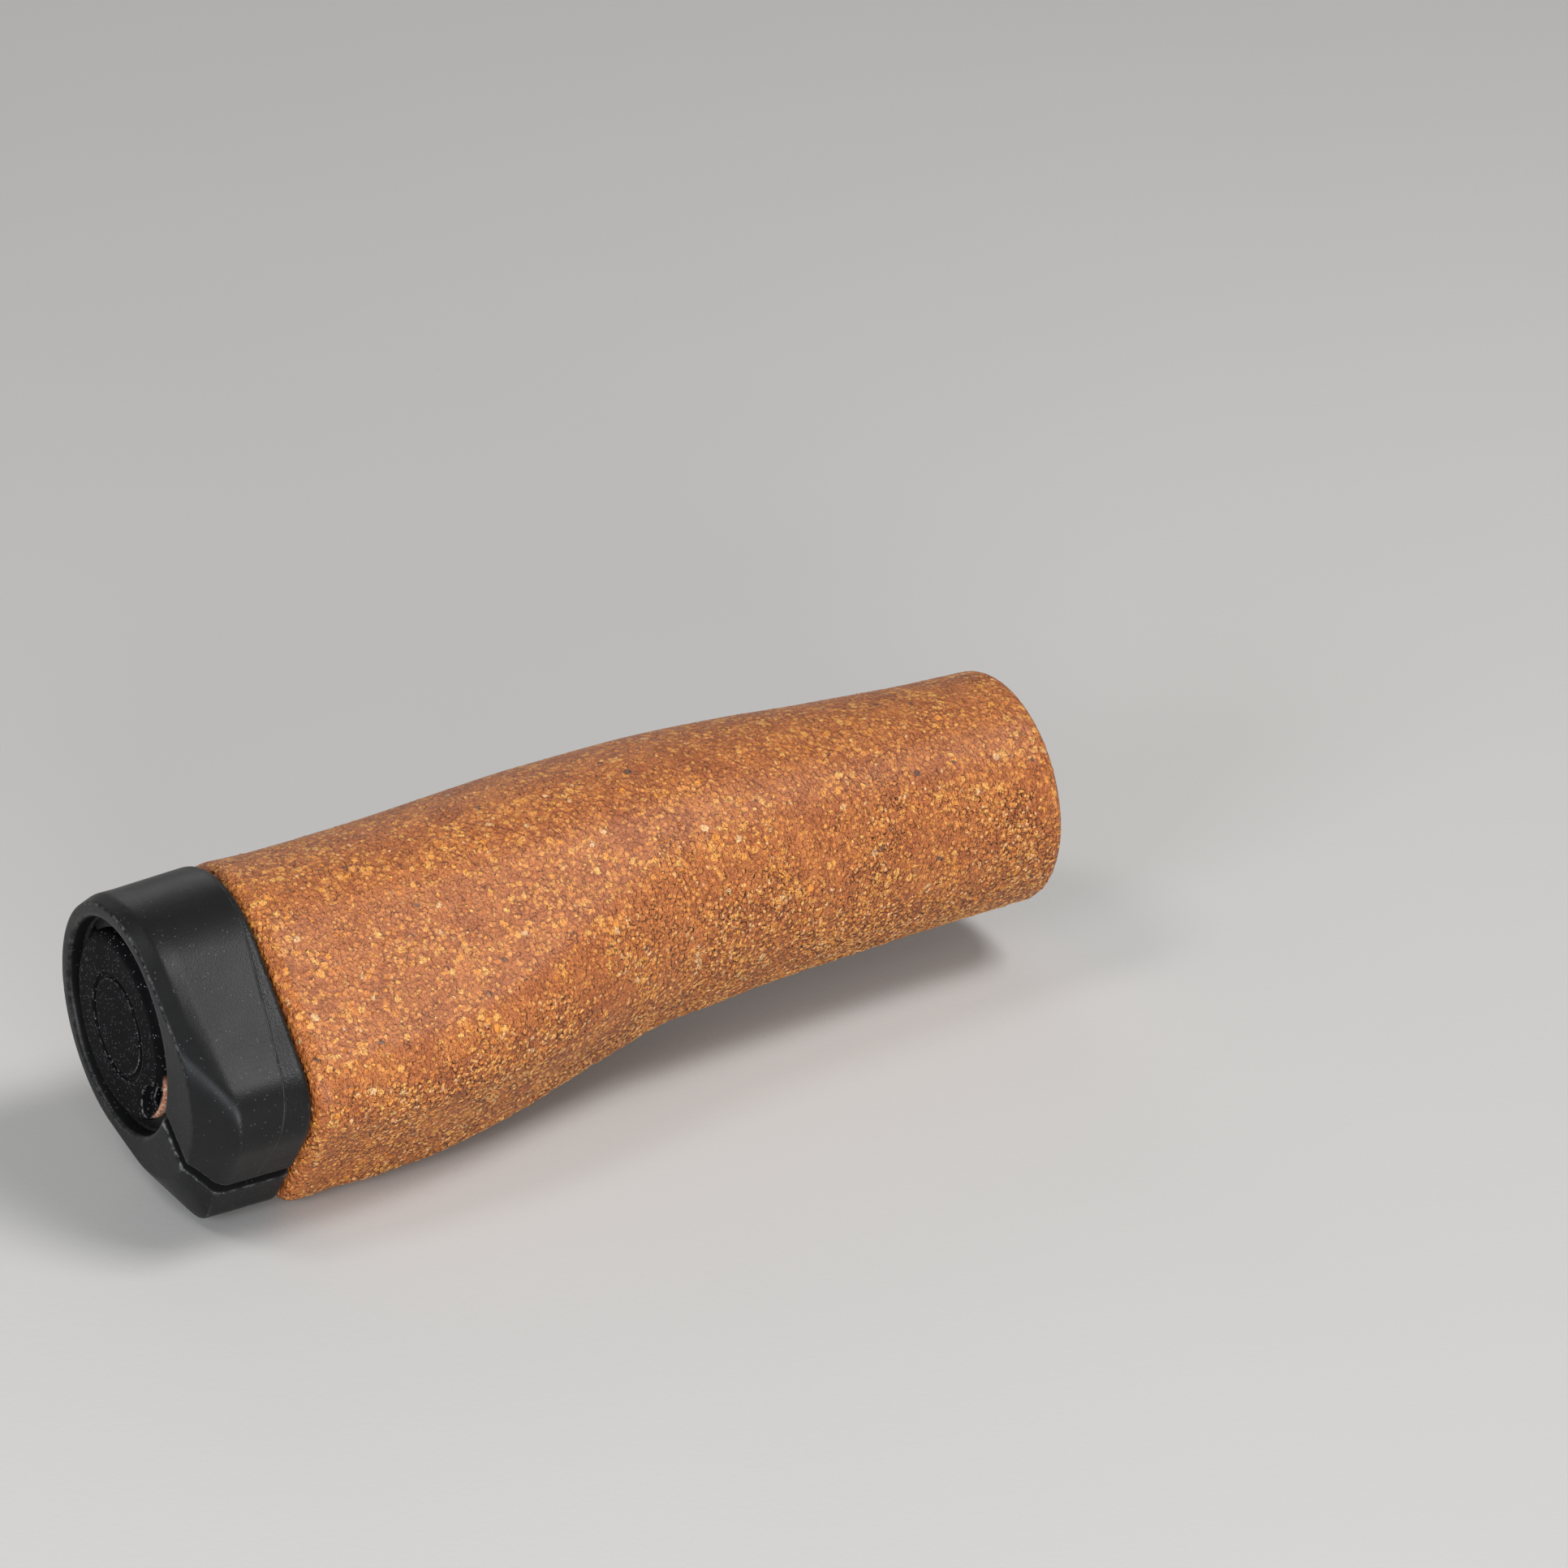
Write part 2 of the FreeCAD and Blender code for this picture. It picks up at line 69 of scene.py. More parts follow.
MM = 0.001
ALONG = Vector((1.0, 0.0, 0.0))
SPLIT_ANGLE = math.radians(40.0)
REACH = Vector((0.0, -math.cos(SPLIT_ANGLE), -math.sin(SPLIT_ANGLE)))
DROP = Vector((0.0, math.sin(SPLIT_ANGLE), -math.cos(SPLIT_ANGLE)))
OUTLINE_TURNS = np.linspace(math.pi / 2, math.pi * 5 / 2, 721)
OUTLINE_FAN = np.radians(np.arange(-84.0, 85.0, 1.5))
MERGE = 1e-4
LOOSE_MERGE = 1e-3
SLIVER = 0.004

Colour = tuple[float, float, float]
Corner = tuple[float, float, float]
Pair = tuple[float, float]
Ranges = tuple[float, float, float, float]
BMesh = bmesh.types.BMesh
Material = bpy.types.Material
Mesh = bpy.types.Mesh
Node = bpy.types.Node
Object = bpy.types.Object
Socket = bpy.types.NodeSocket


class Body(Enum):
    """CAD bodies that pieces ride on."""

    GRIP = "grip"
    PLUG = "plug"
    WASHER = "washer"
    SCREW = "screw"


class Shaping(Enum):
    """What one closed shape does to another."""

    CUT = "DIFFERENCE"
    JOIN = "UNION"
    TRIM = "INTERSECT"


class Measure(Enum):
    """What distances in a cell pattern are measured from."""

    MIDDLE = "F1"
    RIM = "DISTANCE_TO_EDGE"


def at(x: float, reach: float, drop: float) -> Vector:
    """Point given along the bar, along the split and across the split, in millimetres."""
    return ALONG * x + REACH * reach + DROP * drop


def split_frame(x: float, reach: float, drop: float) -> Matrix:
    """Frame at a point, with X along the bar, Y along the split and Z across it."""
    turned = Matrix((ALONG, REACH, DROP)).transposed().to_4x4()
    return Matrix.Translation(at(x, reach, drop)) @ turned


def along_frame(x: float, degrees: float = 0.0) -> Matrix:
    """Frame on the bar's axis, with Z along the bar.

    Args:
        x: place along the bar.
        degrees: angle of the frame's X above forward, about the bar.

    Returns:
        The 4x4 matrix, in millimetres.
    """
    angle = math.radians(degrees)
    out = Vector((0.0, math.cos(angle), math.sin(angle)))
    across = ALONG.cross(out)
    return Matrix.Translation(ALONG * x) @ Matrix((out, across, ALONG)).transposed().to_4x4()


def linear(red: int, green: int, blue: int) -> Colour:
    """Linear colour of an 8-bit display colour."""

    def channel(value: int) -> float:
        """Linear value of one channel."""
        share = value / 255
        return share / 12.92 if share <= 0.04045 else ((share + 0.055) / 1.055) ** 2.4

    return channel(red), channel(green), channel(blue)


# ------------------------------------------------------------------------------- outlines


@dataclass(frozen=True)
class Disc:
    """One of the three discs that an outline is stretched round, in a plane across the bar."""

    y: float
    z: float
    r: float

    def grown(self, by: float) -> "Disc":
        """The same disc with a larger radius."""
        return Disc(self.y, self.z, self.r + by)

    def blended(self, other: "Disc", share: float) -> "Disc":
        """The disc a share of the way to another."""
        return Disc(self.y + (other.y - self.y) * share, self.z + (other.z - self.z) * share,
                    self.r + (other.r - self.r) * share)


def corner_disc(reach: float, drop: float, radius: float, grow: float = 0.0) -> Disc:
    """Disc of a corner, with its radius grown."""
    place = at(0.0, reach, drop)
    return Disc(place.y, place.z, radius + grow)


def outline_points(discs: Sequence[Disc], count: int) -> np.ndarray:
    """Points evenly spaced along the tight outline round the discs, from straight above the bar.

    Args:
        discs: the discs, which together enclose the bar's axis.
        count: how many points.

    Returns:
        An array of (count, 2) with y and z.
    """
    normals = OUTLINE_TURNS[:, None] + OUTLINE_FAN[None, :]
    support = np.max([d.y * np.cos(normals) + d.z * np.sin(normals) + d.r for d in discs], axis=0)
    radii = np.min(support / np.cos(OUTLINE_FAN)[None, :], axis=1)
    line = np.stack([radii * np.cos(OUTLINE_TURNS), radii * np.sin(OUTLINE_TURNS)], axis=1)
    steps = np.linalg.norm(np.diff(line, axis=0), axis=1)
    lengths = np.concatenate([[0.0], np.cumsum(steps)])
    wanted = np.linspace(0.0, lengths[-1], count, endpoint=False)
    return np.stack([np.interp(wanted, lengths, line[:, i]) for i in range(2)], axis=1)


def round_points(like: np.ndarray, radius: float) -> np.ndarray:
    """Points on a circle round the bar, at the angles of another outline's points."""
    return like / np.linalg.norm(like, axis=1)[:, None] * radius


def ring(x: float, points: np.ndarray, lean: float = 0.0) -> np.ndarray:
    """Ring of 3-D points, in a plane across the bar whose x grows with z by its lean."""
    return np.column_stack([x + lean * points[:, 1], points])


def quarter_round(radius: float, steps: int) -> list[Pair]:
    """Distance from an end and inset of each ring of a rounded end, from the end inwards."""
    turns = [math.pi / 2 * i / steps for i in range(steps + 1)]
    return [(radius * (1 - math.cos(t)), radius * (1 - math.sin(t))) for t in turns]


# ----------------------------------------------------------------------- shapes and workpieces


def linked(name: str, data: bpy.types.ID) -> Object:
    """New object in the scene with its data.

    Args:
        name: the object's name.
        data: its mesh, lamp or camera.

    Returns:
        The object.
    """
    obj = bpy.data.objects.new(name, data)
    bpy.context.scene.collection.objects.link(obj)
    return obj


def dropped(obj: Object) -> None:
    """Remove an object and its mesh.

    Args:
        obj: the object.
    """
    mesh = obj.data
    bpy.data.objects.remove(obj)
    bpy.data.meshes.remove(mesh)


def mesh_of(name: str, bm: BMesh) -> Mesh:
    """New mesh of a shape.

    Args:
        name: the mesh's name.
        bm: the shape, which is used up.

    Returns:
        The mesh.
    """
    mesh = bpy.data.meshes.new(name)
    bm.to_mesh(mesh)
    bm.free()
    return mesh


def shape_of(mesh: Mesh) -> BMesh:
    """New shape of a mesh, which is left as it is.

    Args:
        mesh: the mesh.

    Returns:
        The shape.
    """
    bm = bmesh.new()
    bm.from_mesh(mesh)
    return bm


def values_of(items: bpy.types.bpy_prop_collection, name: str, width: int = 3,
              kind: type = np.float32) -> np.ndarray:
    """One property of every item of a mesh.

    Args:
        items: vertices, edges or an attribute's values.
        name: the property.
        width: how many numbers it has.
        kind: their type.

    Returns:
        An array with a row for each item.
    """
    flat = np.empty(len(items) * width, kind)
    items.foreach_get(name, flat)
    return flat.reshape(-1, width)


def placed(bm: BMesh, place: Matrix) -> BMesh:
    """The same shape, moved into a frame."""
    bmesh.ops.transform(bm, matrix=place, verts=bm.verts)
    return bm


def merged(bm: BMesh, reach: float = MERGE) -> BMesh:
    """The same shape, with its doubles merged and then its faces turned outwards.

    Args:
        bm: the shape.
        reach: how close two vertices are when they count as one.

    Returns:
        The shape.
    """
    bmesh.ops.remove_doubles(bm, verts=bm.verts, dist=reach)
    bmesh.ops.recalc_face_normals(bm, faces=bm.faces)
    return bm


def skin(rings: Sequence[np.ndarray]) -> BMesh:
    """Closed skin over rings of points: one grid, wrapped round the bar, last ring joined to first.

    Args:
        rings: rings with the same number of points, in order round the section of the wall.

    Returns:
        The skin, in millimetres, with its faces outwards.
    """
    table = np.array(rings)
    rows, sides = table.shape[:2]
    bm = bmesh.new()
    bmesh.ops.create_grid(bm, x_segments=rows, y_segments=sides, size=1.0)
    mesh = mesh_of("skin", bm)
    grid = values_of(mesh.vertices, "co")
    row = np.rint((grid[:, 0] + 1) / 2 * rows).astype(int) % rows
    side = np.rint((grid[:, 1] + 1) / 2 * sides).astype(int) % sides
    mesh.vertices.foreach_set("co", table[row, side].astype(np.float32).ravel())
    bm = shape_of(mesh)
    bpy.data.meshes.remove(mesh)
    return merged(bm)


def turned(profile: Sequence[Pair], place: Matrix, steps: int) -> BMesh:
    """Solid turned from a profile.

    Args:
        profile: height along the axis and radius of each corner, from axis to axis or closed.
        place: frame whose Z is the axis of the turned solid.
        steps: facets round the axis.

    Returns:
        The closed solid, in millimetres, with its faces outwards.
    """
    bm = bmesh.new()
    line = [bm.verts.new((radius, 0.0, height)) for height, radius in profile]
    edges = [bm.edges.new(pair) for pair in zip(line, line[1:])]
    if profile[0][1] > 0:
        edges.append(bm.edges.new((line[-1], line[0])))
    bmesh.ops.spin(bm, geom=line + edges, cent=(0, 0, 0), axis=(0, 0, 1), angle=2 * math.pi,
                   steps=steps, use_merge=True)
    return placed(merged(bm), place)


def block(low: Sequence[float], high: Sequence[float], place: Matrix) -> BMesh:
    """Box between two corners of a frame.

    Args:
        low: the lowest corner.
        high: the highest corner.
        place: the frame.

    Returns:
        The box, in millimetres.
    """
    bm = bmesh.new()
    bmesh.ops.create_cube(bm, size=1.0)
    bmesh.ops.scale(bm, vec=[b - a for a, b in zip(low, high)], verts=bm.verts)
    bmesh.ops.translate(bm, vec=[(a + b) / 2 for a, b in zip(low, high)], verts=bm.verts)
    return placed(bm, place)


def rod(radius: float, low: float, high: float, place: Matrix, top_radius: Optional[float] = None,
        segments: int = 64) -> BMesh:
    """Cylinder or cone between two heights of a frame.

    Args:
        radius: its radius, or that of its lower end.
        low: height of its lower end.
        high: height of its upper end.
        place: the frame.
        top_radius: radius of a cone's upper end.
        segments: facets round it.

    Returns:
        The rod, in millimetres.
    """
    bm = bmesh.new()
    bmesh.ops.create_cone(bm, cap_ends=True, segments=segments, radius1=radius,
                          radius2=radius if top_radius is None else top_radius, depth=high - low)
    bmesh.ops.translate(bm, vec=(0, 0, (low + high) / 2), verts=bm.verts)
    return placed(bm, place)


class Workpiece:
    """A piece while it is made, in millimetres: cut by other shapes, remeshed, set in place."""

    def __init__(self, name: str, bm: BMesh) -> None:
        """Start from a closed shape, which is used up."""
        self.obj = linked(name, mesh_of(name, bm))

    def _modified(self, *steps: tuple[str, Mapping[str, object]]) -> "Workpiece":
        """Replace the mesh by the result of modifiers.

        Args:
            steps: kind and settings of each modifier.

        Returns:
            The workpiece itself.
        """
        for kind, settings in steps:
            modifier = self.obj.modifiers.new(kind, kind)
            for name, value in settings.items():
                setattr(modifier, name, value)
        graph = bpy.context.evaluated_depsgraph_get()
        result = bpy.data.meshes.new_from_object(self.obj.evaluated_get(graph))
        old = self.obj.data
        self.obj.modifiers.clear()
        self.obj.data = result
        bpy.data.meshes.remove(old)
        return self

    def combined(self, others: Sequence[BMesh], how: Shaping = Shaping.CUT) -> "Workpiece":
        """Cut, join or trim by closed shapes, one after another.

        Args:
            others: the shapes, which are used up.
            how: what they do to the workpiece.

        Returns:
            The workpiece itself.
        """
        for other in others:
            tool = linked("tool", mesh_of("tool", other))
            self._modified(("BOOLEAN", {"operation": how.value, "solver": "EXACT",
                                        "object": tool}))
            dropped(tool)
        return self

    def moulded(self, voxel: float, smoothing: int, kept: float) -> "Workpiece":
        """Give every edge a small moulded radius: an even remesh, smoothing, thinning of flats.

        Args:
            voxel: spacing of the new mesh.
            smoothing: how many times it is smoothed.
            kept: share of the faces that thinning keeps.

        Returns:
            The workpiece itself.
        """
        self._modified(("REMESH", {"mode": "VOXEL", "voxel_size": voxel,
                                   "use_smooth_shade": True}),
                       ("SMOOTH", {"factor": 0.5, "iterations": smoothing}))
        return self._modified(("DECIMATE", {"ratio": kept}))

    def bevelled(self, width: float, segments: int, angle: float = 35.0) -> "Workpiece":
        """Round the edges sharper than an angle."""
        return self._modified(("BEVEL", {"width": width, "segments": segments,
                                         "limit_method": "ANGLE",
                                         "angle_limit": math.radians(angle), "profile": 0.5}))

    def tidied(self) -> "Workpiece":
        """Merge very close corners and drop the slivers that cutting leaves.

        Returns:
            The workpiece itself.
        """
        bm = shape_of(self.obj.data)
        bmesh.ops.triangulate(bm, faces=bm.faces)
        bmesh.ops.dissolve_degenerate(bm, dist=SLIVER, edges=bm.edges)
        merged(bm, SLIVER).to_mesh(self.obj.data)
        bm.free()
        return self

    def positions(self) -> np.ndarray:
        """Places of the mesh's vertices."""
        return values_of(self.obj.data.vertices, "co").astype(float)

    def normals(self) -> np.ndarray:
        """Outward direction at each of the mesh's vertices."""
        return values_of(self.obj.data.vertex_normals, "vector").astype(float)

    def moved(self, places: np.ndarray) -> None:
        """Put the mesh's vertices in new places."""
        self.obj.data.vertices.foreach_set("co", places.astype(np.float32).ravel())
        self.obj.data.update()

    def marked(self, name: str, values: np.ndarray) -> None:
        """Store a value for each vertex, for the finish to read."""
        attribute = self.obj.data.attributes.new(name, "FLOAT", "POINT")
        attribute.data.foreach_set("value", np.clip(values, 0.0, 1.0).astype(np.float32))

    def read(self, name: str) -> np.ndarray:
        """Values stored for each vertex."""
        return values_of(self.obj.data.attributes[name].data, "value", 1)[:, 0].astype(float)

    def edge_marked(self, reach: float) -> None:
        """Store how convex the surface is at each vertex, 0 on flats and 1 on outer edges.

        Args:
            reach: how far a vertex stands out from its neighbours on the sharpest edge.
        """
        ends = values_of(self.obj.data.edges, "vertices", 2, np.int32)
        co, out = self.positions(), self.normals()

        def summed(values: np.ndarray) -> np.ndarray:
            """Sum of the values of each vertex's neighbours."""
            total = np.zeros_like(values)
            for a, b in ((0, 1), (1, 0)):
                np.add.at(total, ends[:, a], values[ends[:, b]])
            return total

        count = summed(np.ones(len(co)))
        stand = np.einsum("ij,ij->i", co - summed(co) / count[:, None], out) / reach
        for _ in range(2):
            stand = 0.5 * stand + 0.5 * summed(stand) / count
        self.marked("edge", stand)

    def finished(self, material: Material, body: Body, node: str) -> None:
        """Scale the mesh to metres, dress it, let it ride in place of a CAD node, and report it.

        Args:
            material: the finish.
            body: the CAD body it rides on.
            node: the CAD node it stands for.
        """
        mesh = self.obj.data
        mesh.transform(Matrix.Scale(MM, 4))
        mesh.materials.clear()
        mesh.materials.append(material)
        mesh.polygons.foreach_set("use_smooth", [True] * len(mesh.polygons))
        mesh.update()
        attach(self.obj, body.value)
        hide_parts(node)
        triangles = sum(len(p.vertices) - 2 for p in mesh.polygons)
        log.info("%s: %d triangles, rides on %s", self.obj.name, triangles, body.value)


# ------------------------------------------------------------------------------------- finishes


@dataclass(frozen=True)
class Mottle:
    """Noise with lumps of a size, as it is or with a span of it mapped smoothly to another."""

    size: float
    detail: float = 2.0
    roughness: float = 0.5
    span: Optional[Pair] = None
    to: Pair = (0.0, 1.0)


class NodeSheet:
    """A material's nodes, with short calls for those the finishes use. Lengths are millimetres."""

    def __init__(self, name: str) -> None:
        """Start a material with a shader and an output.

        Args:
            name: the material's name.
        """
        self.material = bpy.data.materials.new(name)
        self.material.use_nodes = True
        self.tree = self.material.node_tree
        self.shader = self.tree.nodes["Principled BSDF"]
        self.place = self._scaled(self._node("TexCoord").outputs["Object"], 1 / MM)

    def _fill(self, node: Node, inputs: Mapping[Union[int, str], object]) -> None:
        """Link or set a node's inputs.

        Args:
            node: the node.
            inputs: a socket, number, vector or colour for each input.
        """
        for name, value in inputs.items():
            socket = node.inputs[name]
            if isinstance(value, Socket):
                self.tree.links.new(value, socket)
            else:
                socket.default_value = (*value, 1.0) if socket.type == "RGBA" else value

    def _node(self, kind: str, inputs: Optional[Mapping[Union[int, str], object]] = None,
              **settings: object) -> Node:
        """New shader node.

        Args:
            kind: its kind.
            inputs: what its inputs are linked or set to.
            settings: its other settings.

        Returns:
            The node.
        """
        node = self.tree.nodes.new("ShaderNode" + kind)
        for name, value in settings.items():
            setattr(node, name, value)
        self._fill(node, inputs or {})
        return node

    def _vector(self, operation: str, first: object, second: object) -> Node:
        """Node of an operation on two vectors."""
        return self._node("VectorMath", {0: first, 1: second}, operation=operation)

    def _scaled(self, vector: Socket, factor: float) -> Socket:
        """Vector made longer by a factor."""
        return self._node("VectorMath", {0: vector, "Scale": factor}, operation="SCALE").outputs[0]

    def maths(self, operation: str, first: object, second: object = 0.0) -> Socket:
        """Result of an operation on numbers."""
        return self._node("Math", {0: first, 1: second}, operation=operation).outputs[0]

    def times(self, first: object, second: object) -> Socket:
        """Product of two numbers."""
        return self.maths("MULTIPLY", first, second)

    def less(self, first: object, second: object) -> Socket:
        """First number less the second."""
        return self.maths("SUBTRACT", first, second)

    def plus(self, first: object, second: object) -> Socket:
        """Sum of two numbers."""
        return self.maths("ADD", first, second)

    def along(self, direction: Vector) -> Socket:
        """Distance of a place along a direction."""
        return self._vector("DOT_PRODUCT", self.place, tuple(direction)).outputs["Value"]

    def stretched(self, factors: Corner) -> Socket:
        """Object coordinates, stretched along each axis."""
        return self._vector("MULTIPLY", self.place, factors).outputs[0]

    def _noise(self, vector: Socket, size: float, detail: float, roughness: float) -> Node:
        """Noise texture with lumps of a size."""
        return self._node("TexNoise", {"Vector": vector, "Scale": 1 / size, "Detail": detail,
                                       "Roughness": roughness})

    def shaken(self, vector: Socket, *shakes: Pair) -> Socket:
        """Coordinates moved about by soft noise, so that what is drawn on them is ragged.

        Args:
            vector: the coordinates.
            shakes: size of the noise's lumps, and how far it moves them, one after another.

        Returns:
            The new coordinates.
        """
        for size, by in shakes:
            node = self._noise(vector, size, 2.0, 0.5)
            centred = self._vector("SUBTRACT", node.outputs["Color"], (0.5, 0.5, 0.5)).outputs[0]
            vector = self._vector("ADD", vector, self._scaled(centred, 2 * by)).outputs[0]
        return vector

    def mottle(self, look: Mottle, vector: Optional[Socket] = None) -> Socket:
        """Noise of a look.

        Args:
            look: its lumps and range.
            vector: coordinates, if not the object's own.

        Returns:
            A number that varies over the surface.
        """
        node = self._noise(vector or self.place, look.size, look.detail, look.roughness)
        value = node.outputs["Fac"]
        return self.between(value, *look.span, *look.to) if look.span else value

    def cells(self, vector: Socket, size: float, measure: Measure = Measure.MIDDLE) -> Node:
        """Cells of a size that fill the space, as grains do."""
        return self._node("TexVoronoi", {"Vector": vector, "Scale": 1 / size},
                          feature=measure.value)

    def channels(self, cells: Node) -> list[Socket]:
        """Three random numbers of each cell."""
        node = self._node("SeparateColor", {0: cells.outputs["Color"]})
        return [node.outputs[name] for name in ("Red", "Green", "Blue")]

    def between(self, value: object, low: float, high: float, to_low: float = 0.0,
                to_high: float = 1.0) -> Socket:
        """Value mapped smoothly from one range to another, held at its ends."""
        return self._node("MapRange", {"Value": value, "From Min": low, "From Max": high,
                                       "To Min": to_low, "To Max": to_high},
                          interpolation_type="SMOOTHSTEP").outputs["Result"]

    def blend(self, share: object, first: object, second: object) -> Socket:
        """Mix of two colours."""
        return self._node("Mix", {0: share, 6: first, 7: second}, data_type="RGBA").outputs[2]

    def mark(self, name: str) -> Socket:
        """A value that the mesh stores for each vertex."""
        return self._node("Attribute", attribute_name=name).outputs["Fac"]

    def relief(self, *layers: tuple[Socket, float]) -> Socket:
        """Normal of a relief.

        Args:
            layers: height from 0 to 1 and depth of each of its layers, the lowest first.

        Returns:
            The normal.
        """
        under = {}
        for height, depth in layers:
            node = self._node("Bump", {"Distance": depth * MM, "Strength": 1.0, "Height": height,
                                       **under})
            under = {"Normal": node.outputs["Normal"]}
        return under["Normal"]

    def closed(self, colour: object, roughness: object, normal: Socket, **fixed: float) -> Material:
        """Wire the shader and give the material.

        Args:
            colour: base colour.
            roughness: roughness.
            normal: the relief's normal.
            fixed: numbers for the shader's other sockets, with underscores for spaces.

        Returns:
            The material.
        """
        self._fill(self.shader, {"Base Color": colour, "Roughness": roughness, "Normal": normal})
        self._fill(self.shader, {name.replace("_", " "): fixed[name] for name in fixed})
        return self.material


class Finish(Protocol):
    """Anything that can make a material."""

    def material(self) -> Material:
        """The finish as a material."""


@dataclass(frozen=True)
class CorkCompound:
    """Cork granules in orange-brown rubber: crumbs, flakes, dark specks and a leathery skin, with
    painted shade in the crevices between them.
    """

    binder: Colour = linear(160, 84, 31)
    binder_light: Colour = linear(182, 104, 45)
    crumb: Colour = linear(202, 116, 40)
    crumb_light: Colour = linear(228, 154, 74)
    flake: Colour = linear(234, 146, 44)
    flake_light: Colour = linear(242, 184, 96)
    pale: Colour = linear(232, 182, 126)
    dark_speck: Colour = linear(64, 54, 48)
    # Painted shade for the crevices: the pits between crumbs and the rims of flakes.
    crevice_shade: Colour = linear(104, 52, 24)
    clouds: Mottle = Mottle(4.0, 4.0, 0.65, (0.35, 0.65))
    clusters: Mottle = Mottle(6.5, 3.0, 0.6, (0.34, 0.56), (0.6, 1.05))
    crumb_size: float = 0.62
    crumb_shakes: tuple[Pair, Pair] = ((1.1, 0.22), (0.3, 0.05))
    crumb_radius: float = 0.72
    crumb_softness: float = 0.20
    crumb_strength: float = 0.8
    flake_size: float = 0.95
    flake_shakes: tuple[Pair, Pair] = ((0.8, 0.34), (0.26, 0.15))
    flake_less: float = 0.42
    flake_softness: float = 0.08
    flake_strength: float = 0.85
    flake_grain: Mottle = Mottle(0.3, 3.0, 0.6, (0.35, 0.7), (0.0, 0.6))
    # Strength of the painted shade in a ring round each flake's rim.
    flake_rim_shade: float = 0.6
    pale_share: float = 0.06
    pale_where_open: float = 0.2
    pale_fade: float = 0.02
    breaks: Mottle = Mottle(1.3, 2.0, 0.5, (0.40, 0.62))
    # Width and strength of the painted shade in the pits between crumbs.
    pit_shade_width: float = 0.2
    pit_shade_strength: Pair = (0.18, 0.55)
    speck_share: float = 0.006
    speck_rim: Pair = (0.02, 0.12)
    speck_strength: float = 0.85
    granule_tint: Pair = (0.1, 0.7)
    granule_pale: Pair = (0.7, 0.8)
    granule_edge: Pair = (0.02, 0.06)
    granule_grain: Mottle = Mottle(0.25, 3.0, 0.5, (0.35, 0.65), (0.0, 0.7))
    dome_reach: float = 0.6
    dome_least: float = 0.5
    dome_depth: float = 0.27
    open_depth: float = 0.28
    flake_depth: float = 0.10
    wrinkles: Mottle = Mottle(0.6, 2.0, 0.5)
    wrinkle_stretch: Corner = (1.4, 0.9, 0.9)
    wrinkle_shake: Pair = (0.8, 0.25)
    wrinkle_depth: float = 0.9
    pores: Mottle = Mottle(0.2, 2.0, 0.6)
    pore_depth: float = 0.12
    gloss: Mottle = Mottle(2.0, 3.0, 0.5, (0.3, 0.7), (0.40, 0.50))
    gloss_where_open: float = 0.2
    specular: float = 0.5
    coat: float = 0.22
    coat_roughness: float = 0.42

    @staticmethod
    def _spots(sheet: NodeSheet, cells: Node, radius: Socket, softness: float) -> Socket:
        """Rounded spot in each cell, 1 inside its radius and 0 outside."""
        beyond = sheet.less(cells.outputs["Distance"], radius)
        return sheet.between(beyond, -softness, softness, 1.0, 0.0)

    def material(self) -> Material:
        """Make the material.

        Returns:
            The finish as a material.
        """
        sheet = NodeSheet("cork_compound")
        exposed, chip = sheet.mark("exposed"), sheet.mark("chip")
        rounded = sheet.shaken(sheet.place, *self.crumb_shakes)
        crumbs = sheet.cells(rounded, self.crumb_size)
        rim = sheet.cells(rounded, self.crumb_size, Measure.RIM).outputs["Distance"]
        crumb_red, crumb_green, crumb_blue = sheet.channels(crumbs)
        flakes = sheet.cells(sheet.shaken(sheet.place, *self.flake_shakes), self.flake_size)
        flake_red, flake_green, flake_blue = sheet.channels(flakes)
        rich = sheet.mottle(self.clusters)

        # Binder with small crumbs.
        colour = sheet.blend(sheet.mottle(self.clouds), self.binder, self.binder_light)
        radius = sheet.times(sheet.times(crumb_red, rich), self.crumb_radius)
        spot = self._spots(sheet, crumbs, radius, self.crumb_softness)
        own = sheet.blend(crumb_green, self.crumb, self.crumb_light)
        colour = sheet.blend(sheet.times(spot, self.crumb_strength), colour, own)

        # Larger flakes, a few of them pale, with painted shade round their rims.
        radius = sheet.less(sheet.times(flake_red, rich), self.flake_less)
        flake_spot = self._spots(sheet, flakes, radius, self.flake_softness)
        own = sheet.blend(flake_green, self.flake, self.flake_light)
        own = sheet.blend(sheet.mottle(self.flake_grain), own, self.crumb)
        pick = sheet.plus(flake_blue, sheet.times(exposed, self.pale_where_open))
        pale = sheet.between(pick, 1 - self.pale_share, 1 + self.pale_fade - self.pale_share)
        own = sheet.blend(pale, own, self.pale)
        colour = sheet.blend(sheet.times(flake_spot, self.flake_strength), colour, own)
        # Painted shade: a dark ring where each flake meets the binder.
        off_flake = sheet.less(1.0, flake_spot)
        flake_shade_ring = sheet.times(flake_spot, off_flake)
        colour = sheet.blend(sheet.times(flake_shade_ring, self.flake_rim_shade), colour, self.crevice_shade)

        # Painted shade in the pits between the crumbs, and dark specks.
        pit_shade = sheet.times(sheet.between(rim, 0.0, self.pit_shade_width, 1.0, 0.0),
                           sheet.times(sheet.mottle(self.breaks),
                                       sheet.between(exposed, 0.0, 1.0, *self.pit_shade_strength)))
        colour = sheet.blend(sheet.times(pit_shade, off_flake), colour, self.crevice_shade)
        specks = sheet.times(sheet.between(crumb_blue, 1 - self.speck_share, 1.0),
                             sheet.between(rim, *self.speck_rim))
        colour = sheet.blend(sheet.times(specks, self.speck_strength), colour, self.dark_speck)

